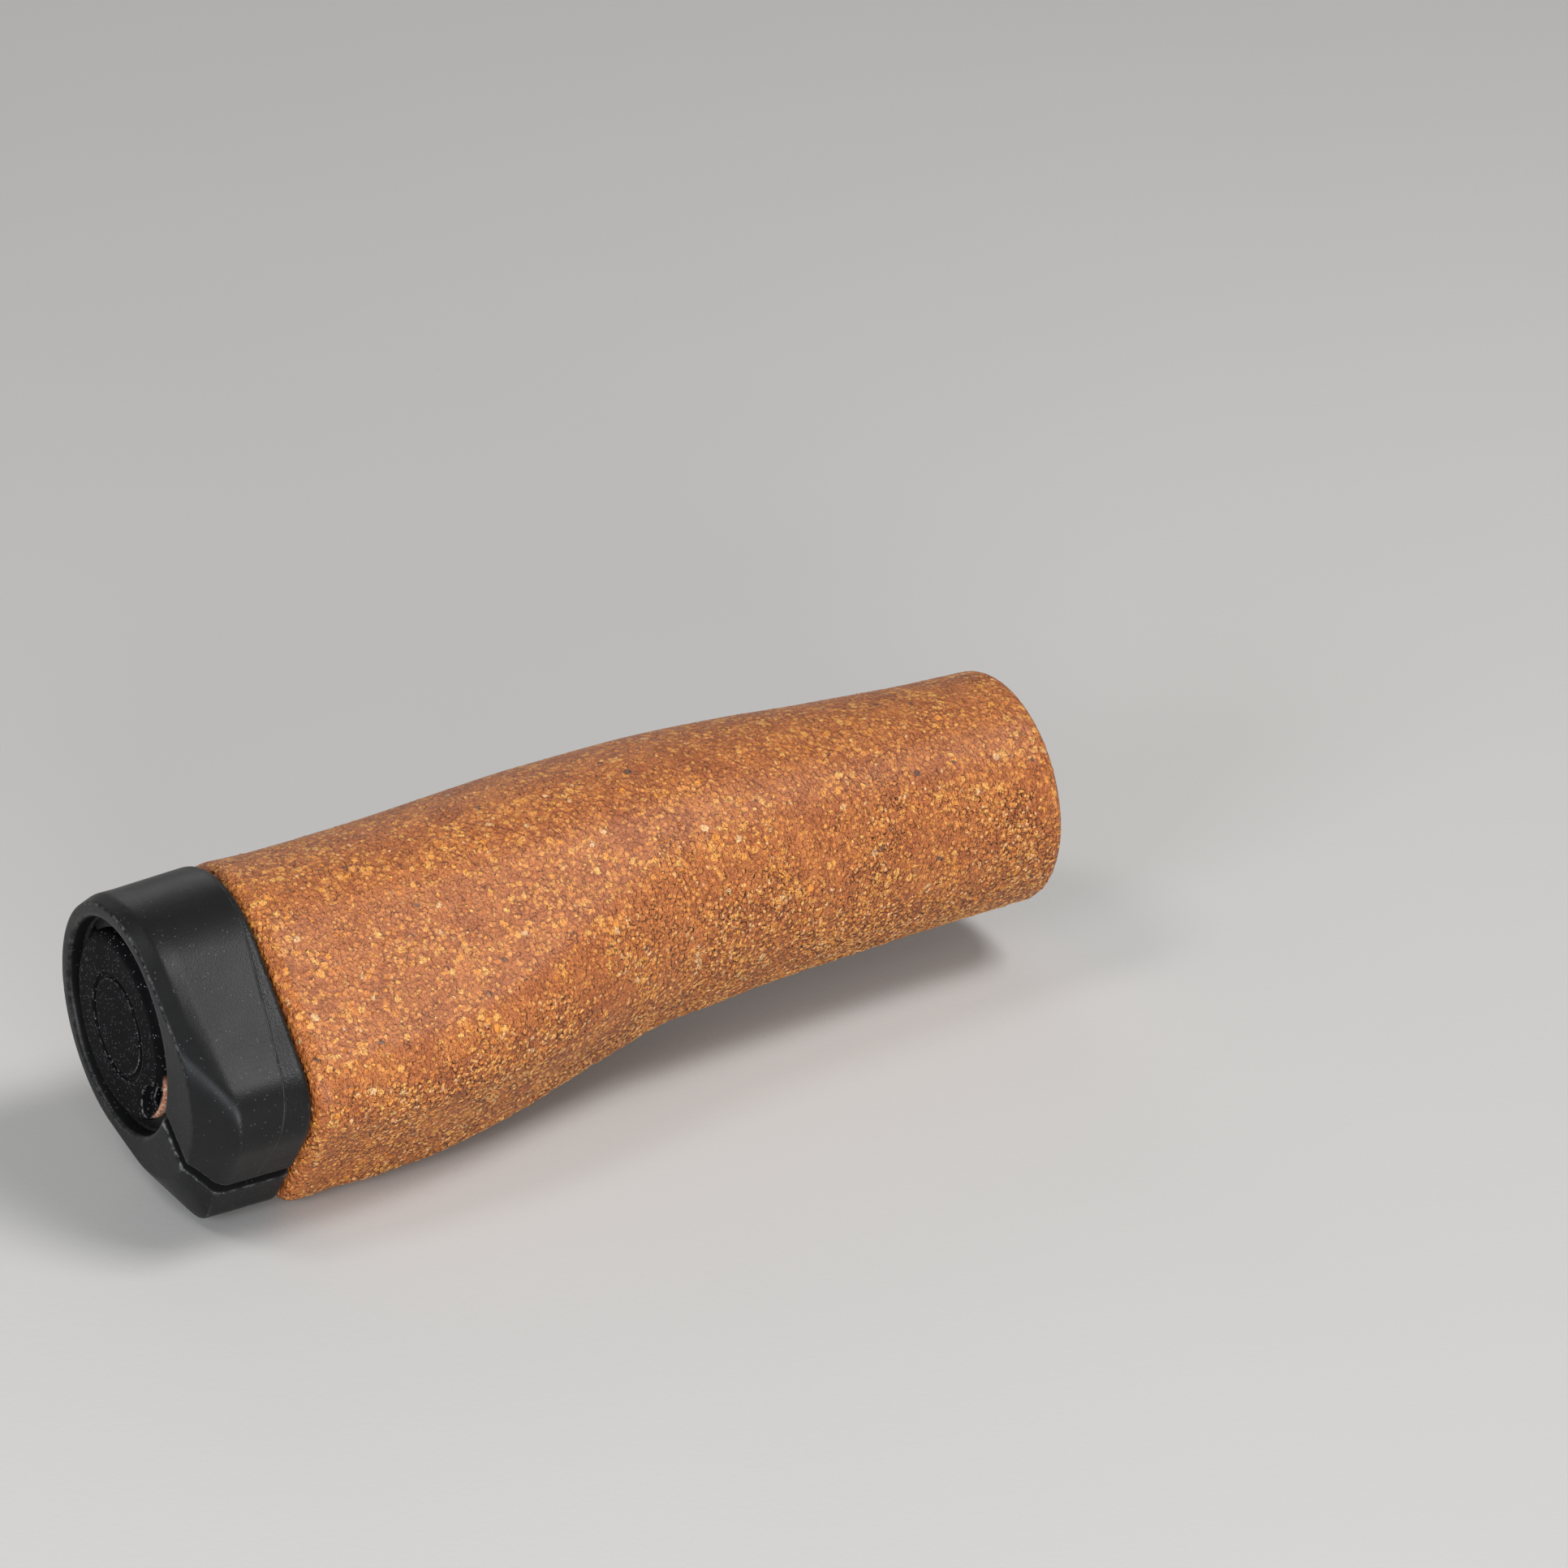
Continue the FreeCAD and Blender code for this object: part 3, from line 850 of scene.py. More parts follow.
        # The loose granules have colours of their own.
        own = sheet.blend(sheet.between(chip, *self.granule_tint), self.crumb, self.flake_light)
        own = sheet.blend(sheet.between(chip, *self.granule_pale), own, self.pale)
        own = sheet.blend(sheet.mottle(self.granule_grain), own, self.crumb)
        colour = sheet.blend(sheet.between(chip, *self.granule_edge), colour, own)

        middle = crumbs.outputs["Distance"]
        dome = sheet.times(
            sheet.between(sheet.times(middle, middle), 0.0, self.dome_reach, 1.0, 0.0),
            sheet.between(crumb_green, 0.0, 1.0, self.dome_least, 1.0))
        creased = sheet.shaken(sheet.stretched(self.wrinkle_stretch), self.wrinkle_shake)
        relief = sheet.relief((dome, self.dome_depth),
                              (sheet.times(dome, exposed), self.open_depth),
                              (flake_spot, self.flake_depth),
                              (sheet.mottle(self.wrinkles, creased), self.wrinkle_depth),
                              (sheet.mottle(self.pores), self.pore_depth))
        rough = sheet.plus(sheet.mottle(self.gloss), sheet.times(exposed, self.gloss_where_open))
        return sheet.closed(colour, rough, relief, Specular_IOR_Level=self.specular,
                            Coat_Weight=self.coat, Coat_Roughness=self.coat_roughness)


@dataclass(frozen=True)
class MouldedNylon:
    """Matte black moulded plastic with a fine grain, pale fibre specks and worn outer edges; on the
    plug the specks are denser and brighter and are also painted glints.
    """

    name: str
    base: Colour = linear(15, 15, 16)
    lighter: Colour = linear(24, 24, 24)
    # Pale fibre specks; on the plug, denser and brighter, they are also painted glints.
    speck_and_glint: Colour = linear(78, 78, 80)
    worn: Colour = linear(120, 120, 120)
    lip: Colour = linear(176, 112, 84)
    lip_edge: Colour = linear(214, 190, 168)
    clouds: Mottle = Mottle(2.5, 5.0, 0.65)
    grain: Mottle = Mottle(0.2, 3.0, 0.6)
    grain_depth: float = 0.024
    speck_and_glint_size: float = 0.22
    speck_share: float = 0.025
    speck_and_glint_edge: Ranges = (0.25, 0.55, 0.7, 0.0)
    worn_edge: Pair = (0.12, 0.6)
    scuffs: Mottle = Mottle(0.9, 6.0, 0.7, (0.42, 0.66))
    wear: float = 0.8
    flaking: Mottle = Mottle(0.5, 4.0, 0.7, (0.45, 0.62))
    rubbing: Mottle = Mottle(0.7, 4.0, 0.7, (0.3, 0.45))
    gloss: Mottle = Mottle(6.0, 3.0, 0.5, (0.3, 0.7), (0.36, 0.41))
    specular: float = 0.2
    parting_x: Optional[float] = None
    parting_lean: float = 0.22
    parting_line: Ranges = (0.03, 0.11, 1.0, 0.0)
    parting_breaks: Mottle = Mottle(1.6, 4.0, 0.7, (0.35, 0.6))
    parting_strength: float = 0.35
    parting_depth: float = 0.05
    coarse: Mottle = Mottle(0.34, 2.0)
    coarse_fade: Pair = (0.0, 0.2)
    coarse_depth: float = 0.05

    def material(self) -> Material:
        """Make the material.

        Returns:
            The finish as a material.
        """
        sheet = NodeSheet(self.name)
        colour = sheet.blend(sheet.mottle(self.clouds), self.base, self.lighter)
        # Pale specks: fibre specks, which on the plug also serve as painted glints.
        dots = sheet.cells(sheet.place, self.speck_and_glint_size)
        pick = sheet.between(sheet.channels(dots)[0], 1 - self.speck_share,
                             1 - self.speck_share / 2)
        dot = sheet.times(pick, sheet.between(dots.outputs["Distance"], *self.speck_and_glint_edge))
        colour = sheet.blend(dot, colour, self.speck_and_glint)

        # Scuffs on the outer edges, and the metal-coloured lip where the paint is rubbed.
        edge = sheet.between(sheet.mark("edge"), *self.worn_edge)
        worn = sheet.times(edge, sheet.times(sheet.mottle(self.scuffs), self.wear))
        colour = sheet.blend(worn, colour, self.worn)
        bare = sheet.blend(sheet.mottle(self.flaking), self.lip, self.lip_edge)
        rubbed = sheet.times(sheet.mark("rubbed"), sheet.mottle(self.rubbing))
        colour = sheet.blend(rubbed, colour, bare)

        layers = [(sheet.mottle(self.grain), self.grain_depth)]
        if self.parting_x is not None:
            # A broken mould line, and a coarser grain inboard of it.
            slope = Vector((1.0, 0.0, -self.parting_lean))
            beyond = sheet.less(sheet.along(slope), self.parting_x)
            line = sheet.between(sheet.maths("ABSOLUTE", beyond), *self.parting_line)
            broken = sheet.times(line, sheet.mottle(self.parting_breaks))
            colour = sheet.blend(sheet.times(broken, self.parting_strength), colour, self.speck_and_glint)
            coarser = sheet.times(sheet.between(beyond, *self.coarse_fade),
                                  sheet.mottle(self.coarse))
            layers += [(line, self.parting_depth), (coarser, self.coarse_depth)]
        return sheet.closed(colour, sheet.mottle(self.gloss), sheet.relief(*layers),
                            Specular_IOR_Level=self.specular)


@dataclass(frozen=True)
class SatinSteel:
    """Turned and plated steel with fine lines round the screw's axis."""

    name: str
    base: Colour
    darker: Colour
    clouds: Mottle = Mottle(1.6, 5.0, 0.65)
    gloss: Mottle = Mottle(0.8, 4.0, 0.7, (0.3, 0.7), (0.26, 0.42))
    line_pitch: float = 60.0
    grain: Mottle = Mottle(0.15, 3.0)
    line_depth: float = 0.004

    def material(self) -> Material:
        """Make the material.

        Returns:
            The finish as a material.
        """
        sheet = NodeSheet(self.name)
        colour = sheet.blend(sheet.mottle(self.clouds), self.darker, self.base)
        lines = sheet.maths("SINE", sheet.times(sheet.along(DROP), self.line_pitch))
        relief = sheet.relief((sheet.plus(lines, sheet.mottle(self.grain)), self.line_depth))
        return sheet.closed(colour, sheet.mottle(self.gloss), relief, Metallic=1.0)


@dataclass(frozen=True)
class StudioFloor:
    """Plain pale paper."""

    base: Colour = (0.50, 0.49, 0.475)
    lighter: float = 1.02
    clouds: Mottle = Mottle(40.0, 3.0)
    roughness: float = 0.9
    tooth: Mottle = Mottle(0.8, 3.0)
    tooth_depth: float = 0.02

    def material(self) -> Material:
        """Make the material.

        Returns:
            The finish as a material.
        """
        sheet = NodeSheet("studio_paper")
        lighter = tuple(c * self.lighter for c in self.base)
        colour = sheet.blend(sheet.mottle(self.clouds), self.base, lighter)
        relief = sheet.relief((sheet.mottle(self.tooth), self.tooth_depth))
        return sheet.closed(colour, self.roughness, relief)


# --------------------------------------------------------------------------------- sub-assemblies


@dataclass(frozen=True)
class Station:
    """Cork section at a share of its length: wall, lift, and growth from a circle to the wing."""

    share: float
    wall: float
    lift: float
    wing: float


@dataclass
class GripSizes:
    """Sizes that several sub-assemblies share."""

    length: float = 121.0
    clamp_width: float = 13.3
    seam_lean: float = math.tan(math.radians(3.4))
    seam_gap: float = 0.25
    bore_r: float = 11.15
    core_r: float = 12.6
    sleeve_bore_r: float = 12.65
    core_setback: float = 2.0
    heel: Corner = (16.1, -9.25, 6.5)
    toe: Corner = (20.15, 2.78, 4.0)
    screw_x: float = -113.45
    screw_reach: float = 17.6
    seat_drop: float = 2.0
    nut_rise: float = 7.5

    @property
    def front_x(self) -> float:
        """Place of the clamp's front face."""
        return -self.length

    @property
    def seam_x(self) -> float:
        """Place of the cork's outboard end on the bar's axis."""
        return self.clamp_width - self.length

    def on_screw(self, drop: float) -> Matrix:
        """Frame on the screw's axis at a drop."""
        return split_frame(self.screw_x, self.screw_reach, drop)


@dataclass
class CorkSleeve:
    """Cork-compound sleeve: round inboard, a belly in the middle and a wing at the clamp."""

    sizes: GripSizes
    finish: Finish = CorkCompound()
    over_clamp: float = 0.9
    inboard_round: float = 1.5
    inboard_rings: int = 6
    outboard_round: float = 2.0
    outboard_rings: int = 8
    bore_ease: float = 0.3
    ring_spacing: float = 0.345
    sides: int = 288
    stations: tuple[Station, ...] = (
        Station(0.00, 2.05, 0.00, 0.00), Station(0.11, 2.35, 0.15, 0.00),
        Station(0.23, 3.00, 0.40, 0.00), Station(0.35, 3.75, 0.70, 0.00),
        Station(0.48, 4.40, 0.60, 0.04), Station(0.60, 4.35, 0.40, 0.34),
        Station(0.72, 3.80, 0.20, 0.74), Station(0.83, 3.25, 0.10, 0.95),
        Station(0.93, 3.05, 0.00, 1.00), Station(1.00, 3.30, 0.00, 1.00))
    relief_from: float = 0.4
    relief_fade: float = 1.2
    granule: float = 0.9
    granule_rise: float = 0.07
    granule_rim: float = 0.35
    grain_shift: Corner = (3.1, 7.7, 1.3)
    grain_rise: float = 0.025
    lump: float = 9.0
    lump_rise: float = 0.04
    sunk: float = 0.06
    open_side: Pair = (-0.62, -0.78)
    open_from: float = 0.15
    open_patches: float = 0.9
    calm: float = 0.25
    calm_length: float = 3.0
    calm_fade: float = 9.0
    lip_behind: float = 6.0
    lip_spread: float = 2.4
    lip_depth: float = 0.2
    lip_from: float = 0.80
    lip_fade: float = 0.16
    chips: int = 6000
    chip_seed: int = 11
    chip_least: float = 0.04
    chip_crowding: float = 1.5
    chip_wall: float = 1.2
    chip_long: Pair = (0.24, 0.44)
    chip_short: Pair = (0.18, 0.34)
    chip_thick: Pair = (0.08, 0.15)
    chip_uneven: Pair = (0.8, 1.15)
    chip_sunk: float = 0.35

    def _profile(self, column: str, share: float) -> float:
        """Smooth value between the stations, by a monotone cubic.

        Args:
            column: the station's value: wall, lift or wing.
            share: place as a share of the length.

        Returns:
            The value.
        """
        xs = [s.share for s in self.stations]
        ys = [getattr(s, column) for s in self.stations]
        steps = [(ys[i + 1] - ys[i]) / (xs[i + 1] - xs[i]) for i in range(len(xs) - 1)]
        slopes = [steps[0]]
        for before, after in zip(steps, steps[1:]):
            flat = before * after <= 0
            slopes.append(0.0 if flat else 2 * before * after / (before + after))
        slopes.append(steps[-1])
        i = max(k for k in range(len(xs) - 1) if share >= xs[k])
        width = xs[i + 1] - xs[i]
        t = (share - xs[i]) / width
        return ((2 * t ** 3 - 3 * t ** 2 + 1) * ys[i]
                + (t ** 3 - 2 * t ** 2 + t) * width * slopes[i]
                + (3 * t ** 2 - 2 * t ** 3) * ys[i + 1] + (t ** 3 - t ** 2) * width * slopes[i + 1])

    def _discs(self, share: float, inset: float) -> list[Disc]:
        """Discs of one section.

        Args:
            share: its place as a share of the length.
            inset: how far it is drawn in.

        Returns:
            The belly's disc, and those that grow into the wing's heel and toe.
        """
        lift, wing = self._profile("lift", share), self._profile("wing", share)
        belly = Disc(0.0, lift, self.sizes.core_r + self._profile("wall", share))
        corners = [corner_disc(*corner, grow=self.over_clamp)
                   for corner in (self.sizes.heel, self.sizes.toe)]
        discs = [belly, *(belly.blended(corner, wing) for corner in corners)]
        return [d.grown(-inset) for d in discs]

    def _rings(self) -> list[np.ndarray]:
        """Work out the rings of the wall.

        Returns:
            Rings of the outside, from the inboard end, and then of the bore.
        """
        s = self.sizes
        length = -s.seam_x
        places = quarter_round(self.inboard_round, self.inboard_rings)
        body = length - self.inboard_round - self.outboard_round
        count = round(body / self.ring_spacing)
        places += [(self.inboard_round + body * i / count, 0.0) for i in range(1, count)]
        places += [(length - distance, inset) for distance, inset
                   in reversed(quarter_round(self.outboard_round, self.outboard_rings))]
        rings = []
        for distance, inset in places:
            share = distance / length
            points = outline_points(self._discs(share, inset), self.sides)
            rings.append(ring(-distance, points, s.seam_lean * share ** 2))
        bore = round_points(points, s.sleeve_bore_r)
        eased = round_points(points, s.sleeve_bore_r + self.bore_ease)
        return rings + [ring(s.seam_x, eased, s.seam_lean),
                        ring(s.seam_x + self.bore_ease, bore, s.seam_lean),
                        ring(-self.bore_ease, bore), ring(0.0, eased)]

    @staticmethod
    def _grain(place: Vector) -> Pair:
        """Look up the granule at a place, with a usual recipe for a number that looks random.

        Args:
            place: the place, in granule sizes.

        Returns:
            Random height of the granule, and the place's distance from the granule's edge.
        """
        distances, centres = noise.voronoi(place)
        seed = centres[0].dot(Vector((12.9898, 78.233, 37.719)))
        return (math.sin(seed) * 43758.5453) % 1.0, distances[1] - distances[0]

    def _relief(self, piece: Workpiece) -> None:
        """Sink the outside between granules and soft lumps, rougher where the skin is open.

        Args:
            piece: the sleeve, which also gets its mark of where the skin is open.
        """
        co, out = piece.positions(), piece.normals()
        radial = np.linalg.norm(co[:, 1:], axis=1)
        outside = np.clip((radial - self.sizes.sleeve_bore_r - self.relief_from)
                          / self.relief_fade, 0.0, 1.0)
        patches = np.array([noise.noise(Vector(p) / self.lump) for p in co])
        facing = self.open_side[0] * out[:, 1] + self.open_side[1] * out[:, 2]
        from_clamp = np.clip((co[:, 0] - self.sizes.seam_x - self.calm_length)
                             / self.calm_fade, 0.0, 1.0)
        exposed = np.clip(facing - self.open_from + self.open_patches * patches, 0.0, 1.0)
        exposed = exposed * (self.calm + (1 - self.calm) * from_clamp)
        shift = Vector(self.grain_shift)
        lift = np.empty(len(co))
        for i, p in enumerate(co):
            place = Vector(p) / self.granule
            height, rim = self._grain(place)
            plateau = min(rim / self.granule_rim, 1.0)
            grain = noise.noise(place + shift) * self.grain_rise
            lift[i] = ((height - 0.5) * plateau * self.granule_rise + grain) * (0.5 + exposed[i])
        lift += patches * self.lump_rise
        lift = np.minimum(lift - self.sunk, 0.0) - self._behind_lip(co)
        lift *= outside
        piece.moved(co + out * lift[:, None])
        piece.marked("exposed", exposed * outside)

    def _behind_lip(self, co: np.ndarray) -> np.ndarray:
        """Work out the hollow that leaves a raised lip beside the clamp, at the wing's toe.

        Args:
            co: places on the sleeve.

        Returns:
            The hollow's depth at each place.
        """
        reach, drop, _ = self.sizes.toe
        corner = np.array((REACH * reach + DROP * drop)[1:])
        corner /= np.linalg.norm(corner)
        towards = (co[:, 1:] @ corner) / np.linalg.norm(co[:, 1:], axis=1)
        weight = np.clip((towards - self.lip_from) / self.lip_fade, 0.0, 1.0)
        weight = weight * weight * (3 - 2 * weight)
        along = (co[:, 0] - self.sizes.seam_x - self.lip_behind) / self.lip_spread
        return self.lip_depth * weight * np.exp(-along * along)

    def _chips(self, sleeve: Workpiece) -> Workpiece:
        """Make the loose granules: small rounded chips half sunk in the skin.

        Args:
            sleeve: the sleeve, with its mark of where the skin is open and has most of them.

        Returns:
            The granules.
        """
        rng = np.random.default_rng(self.chip_seed)
        co, out = sleeve.positions(), sleeve.normals()
        outer = np.linalg.norm(co[:, 1:], axis=1) > self.sizes.sleeve_bore_r + self.chip_wall
        weight = (sleeve.read("exposed") ** self.chip_crowding + self.chip_least) * outer
        chosen = rng.choice(len(co), self.chips, replace=False, p=weight / weight.sum())
        bm = bmesh.new()
        bmesh.ops.create_icosphere(bm, subdivisions=1, radius=1.0)
        per_chip, per_faces = len(bm.verts), len(bm.faces)
        while len(bm.verts) < per_chip * self.chips:
            bm.faces.ensure_lookup_table()
            room = self.chips - len(bm.verts) // per_chip
            bmesh.ops.duplicate(bm, geom=bm.faces[:room * per_faces])
        piece = Workpiece("cork_granules", bm)
        unit = piece.positions().reshape(-1, per_chip, 3)
        normal = out[chosen]
        side = np.cross(normal, rng.normal(size=(self.chips, 3)))
        side /= np.linalg.norm(side, axis=1)[:, None]
        other = np.cross(normal, side)
        long, short, thick = (rng.uniform(*span, self.chips)[:, None]
                              for span in (self.chip_long, self.chip_short, self.chip_thick))
        local = unit * rng.uniform(*self.chip_uneven, (self.chips, per_chip, 1))
        places = (co[chosen] - normal * (thick * self.chip_sunk))[:, None]
        for i, axis in enumerate((side * long, other * short, normal * thick)):
            places = places + local[:, :, i:i + 1] * axis[:, None]
        piece.moved(np.clip(places.reshape(-1, 3), co.min(axis=0), co.max(axis=0)))
        piece.marked("chip", np.repeat(rng.uniform(0.1, 1.0, self.chips), per_chip))
        return piece

    def build(self) -> None:
        """Make the sleeve and the loose granules on it."""
        piece = Workpiece("cork_sleeve_skin", skin(self._rings()))
        self._relief(piece)
        material = self.finish.material()
        for part in (self._chips(piece), piece):
            part.finished(material, Body.GRIP, "cork_sleeve")


@dataclass
class SplitClamp:
    """Split clamp: a winged band with deepening front facets, a split, a hole, a nut pocket."""

    sizes: GripSizes
    finish: Finish = MouldedNylon("clamp_nylon", parting_x=-111.3)
    wall: float = 2.85
    opening_step: float = 0.4
    opening_bevel: float = 0.35
    split_rise: float = 3.06
    split_width: float = 1.8
    split_radii: Pair = (0.6, 3.0)
    split_past: float = 5.0
    flat_ease: float = 0.7
    flat_heel: Corner = (8.1, -3.25, 11.4)
    flat_toe: Corner = (6.45, -0.8, 12.5)
    facet_depths: tuple[float, float, float] = (2.1, 4.0, 2.8)
    facet_roundings: tuple[int, int, int] = (14, 5, 10)
    facet_rings: int = 72
    band_rings: int = 6
    rear_round: float = 0.8
    rear_rings: int = 5
    rear_swell: float = 0.4
    counterbore_r: float = 3.7
    counterbore_depth: float = 25.0
    hole_r: float = 2.2
    hole_end_drop: float = -14.3
    hole_past: float = 1.0
    nut_half: float = 3.6
    nut_height: float = 2.3
    pocket_length: float = 20.0
    key_half: float = 1.6
    key_top_r: float = 13.6
    key_length: float = 7.35
    sides: int = 480
    voxel: float = 0.17
    smoothing: int = 8
    kept: float = 0.5
    edge_reach: float = 0.03

    @staticmethod
    def _growth(share: float, rounding: int) -> float:
        """Work out how far a facet has risen from the front flat to the full outline.

        Args:
            share: how much of the facet's depth is passed.
            rounding: how late it curves into the band.

        Returns:
            The risen share, from 0 to 1.
        """
        share = min(share, 1.0)
        extra = 1.0 / (rounding - 1)
        return (1 + extra) * share - extra * share ** rounding

    def _rings(self) -> list[np.ndarray]:
        """Work out the rings of the wall.

        Returns:
            Rings round its section: bore, opening, front flat, facets, band and rear face.
        """
        s = self.sizes
        outer_r = s.sleeve_bore_r + self.wall
        full = [Disc(0.0, 0.0, outer_r), corner_disc(*s.heel), corner_disc(*s.toe)]
        flat = [Disc(0.0, 0.0, outer_r - self.flat_ease), corner_disc(*self.flat_heel),
                corner_disc(*self.flat_toe)]
        swollen = [full[0].grown(self.rear_swell), *full[1:]]
        first = outline_points(flat, self.sides)
        opening_r = s.sleeve_bore_r + self.opening_step
        rear_x = s.seam_x - s.seam_gap
        rings = [ring(rear_x, round_points(first, s.sleeve_bore_r), s.seam_lean)]
        rings += [ring(s.front_x + back, round_points(first, radius)) for back, radius in (
            (s.core_setback, s.sleeve_bore_r), (s.core_setback, opening_r),
            (self.opening_bevel, opening_r), (0.0, opening_r + self.opening_bevel))]
        deepest = max(self.facet_depths)
        for i in range(self.facet_rings + 1):
            depth = deepest * i / self.facet_rings
            discs = [a.blended(b, self._growth(depth / d, rounding)) for a, b, d, rounding
                     in zip(flat, full, self.facet_depths, self.facet_roundings)]
            rings.append(ring(s.front_x + depth, outline_points(discs, self.sides)))
        start = ring(s.front_x + deepest, outline_points(full, self.sides))
        end = ring(rear_x - self.rear_round, outline_points(swollen, self.sides), s.seam_lean)
        rings += [start + (end - start) * i / self.band_rings for i in range(1, self.band_rings)]
        for distance, inset in reversed(quarter_round(self.rear_round, self.rear_rings)):
            points = outline_points([d.grown(-inset) for d in swollen], self.sides)
            rings.append(ring(rear_x - distance, points, s.seam_lean))
        return rings

    def _cutters(self) -> list[BMesh]:
        """Make the shapes that are cut away.

        Returns:
            Split, screw hole, counterbore, nut pocket and key groove.
        """
        s = self.sizes
        half = self.split_width / 2
        near, far = (s.sleeve_bore_r * radii for radii in self.split_radii)
        seat = s.on_screw(s.seat_drop)
        return [
            block((s.front_x - self.split_past, near, -half),
                  (s.seam_x + self.split_past, far, half), split_frame(0.0, 0.0, -self.split_rise)),
            rod(self.hole_r, self.hole_end_drop - s.seat_drop, self.hole_past, seat),
            rod(self.counterbore_r, 0.0, self.counterbore_depth, seat),
            block((-self.nut_half, -self.nut_half, -self.nut_height),
                  (self.pocket_length, self.nut_half, 0.0), s.on_screw(-s.nut_rise)),
            block((s.bore_r, -self.key_half, s.seam_x - self.key_length),
                  (self.key_top_r, self.key_half, 0.0), along_frame(0.0, 90.0)),
        ]

    def build(self) -> None:
        """Make the clamp."""
        piece = Workpiece("split_clamp", skin(self._rings()))
        piece.combined(self._cutters()).moulded(self.voxel, self.smoothing, self.kept)
        piece.edge_marked(self.edge_reach)
        piece.finished(self.finish.material(), Body.GRIP, "clamp_ring")


@dataclass
class EndPlug:
    """Push-in end plug: a round-edged plate with a ring groove and pry notch, on a spigot."""

    sizes: GripSizes
    # The plug's black is its own colour, made darker than the clamp's as painted shade for the
    # recess it sits in.
    finish: Finish = MouldedNylon(
        # Its denser, brighter specks are fibre specks and also painted glints.
        "plug_plastic", linear(9, 9, 10), linear(16, 16, 17), linear(120, 120, 126),
        speck_share=0.10, gloss=Mottle(6.0, 3.0, 0.5, (0.3, 0.7), (0.38, 0.46)), specular=0.015,
        wear=0.9)
    radius: float = 11.5
    rise: float = 1.85
    floor: float = 2.2
    edge: float = 1.5
    edge_rings: int = 10
    spigot_r: float = 8.35
    spigot_wall: float = 1.35
    spigot_length: float = 2.8
    spigot_chamfer: float = 0.4
    slot_angles: tuple[float, ...] = (40.0, 130.0, 220.0, 310.0)
    slot_width: float = 1.6
    slot_length: float = 2.4
    ring_r: float = 6.2
    ring_width: float = 0.8
    ring_depth: float = 0.3
    ring_draft: float = 0.1
    scoop_r: float = 4.1
    scoop_offset: float = 12.4
    scoop_depth: float = 0.7
    scoop_angle: float = 218.0
    scoop_segments: int = 96
    pry_offset: float = 10.2
    pry_angle: float = 207.0
    pry_length: float = 3.8
    pry_width: float = 1.2
    past: float = 1.0
    rubbed_angles: Pair = (6.0, 54.0)
    rubbed_fade: float = 8.0
    rubbed_r: float = 11.05
    rubbed_spread: float = 0.2
    steps: int = 192
    voxel: float = 0.11
    smoothing: int = 7
    kept: float = 0.65
    edge_reach: float = 0.02

    def _profile(self) -> list[Pair]:
        """Draw the profile of the plate and spigot.

        Returns:
            Height inboard from the plate's face and radius of each corner.
        """
        end = self.rise + self.spigot_length
        inner = self.spigot_r - self.spigot_wall
        low, high = self.ring_r - self.ring_width / 2, self.ring_r + self.ring_width / 2
        rim = [(back, self.radius - inset)
               for back, inset in quarter_round(self.edge, self.edge_rings)]
        return [(0.0, 0.0), (0.0, low), (self.ring_depth, low + self.ring_draft),
                (self.ring_depth, high - self.ring_draft), (0.0, high), *rim,
                (self.rise, self.radius), (self.rise, self.spigot_r),
                (end - self.spigot_chamfer, self.spigot_r),
                (end, self.spigot_r - self.spigot_chamfer), (end, inner), (self.floor, inner),
                (self.floor, 0.0)]

    def _cutters(self, face_x: float) -> list[BMesh]:
        """Make the shapes that are cut away.

        Args:
            face_x: place of the plate's face.

        Returns:
            The spigot's slots, the scoop and the pry slot.
        """
        end = self.rise + self.spigot_length
        inner, half_slot, half_pry = (self.spigot_r - self.spigot_wall, self.slot_width / 2,
                                      self.pry_width / 2)
        cutters = [block((inner - self.past, -half_slot, end - self.slot_length),
                         (self.spigot_r + self.past, half_slot, end + self.past),
                         along_frame(face_x, angle)) for angle in self.slot_angles]
        scoop = along_frame(face_x, self.scoop_angle)
        scoop = scoop @ Matrix.Translation((self.scoop_offset, 0.0, 0.0))
        cutters.append(rod(self.scoop_r, -self.past, self.scoop_depth, scoop,
                           segments=self.scoop_segments))
        cutters.append(block((self.pry_offset - half_pry, -self.pry_length / 2, -self.past),
                             (self.pry_offset + half_pry, self.pry_length / 2,
                              self.rise + self.past), along_frame(face_x, self.pry_angle)))
        return cutters

    def _mark_rubbed(self, piece: Workpiece) -> None:
        """Store where the rim is rubbed bare.

        Args:
            piece: the plug.
        """
        co = piece.positions()
        angle = np.degrees(np.arctan2(-co[:, 2], -co[:, 1]))
        low, high = self.rubbed_angles
        across = np.clip(np.minimum(angle - low, high - angle) / self.rubbed_fade, 0.0, 1.0)
        outer = np.clip((np.linalg.norm(co[:, 1:], axis=1) - self.rubbed_r)
                        / self.rubbed_spread, 0.0, 1.0)
        piece.marked("rubbed", across * outer)

    def build(self) -> None:
        """Make the plug."""
        face_x = self.sizes.front_x + self.sizes.core_setback - self.rise
        shape = turned(self._profile(), along_frame(face_x), self.steps)
        piece = Workpiece("end_plug_moulding", shape).combined(self._cutters(face_x))
        piece.moulded(self.voxel, self.smoothing, self.kept).edge_marked(self.edge_reach)
        self._mark_rubbed(piece)
        piece.finished(self.finish.material(), Body.PLUG, "end_plug")


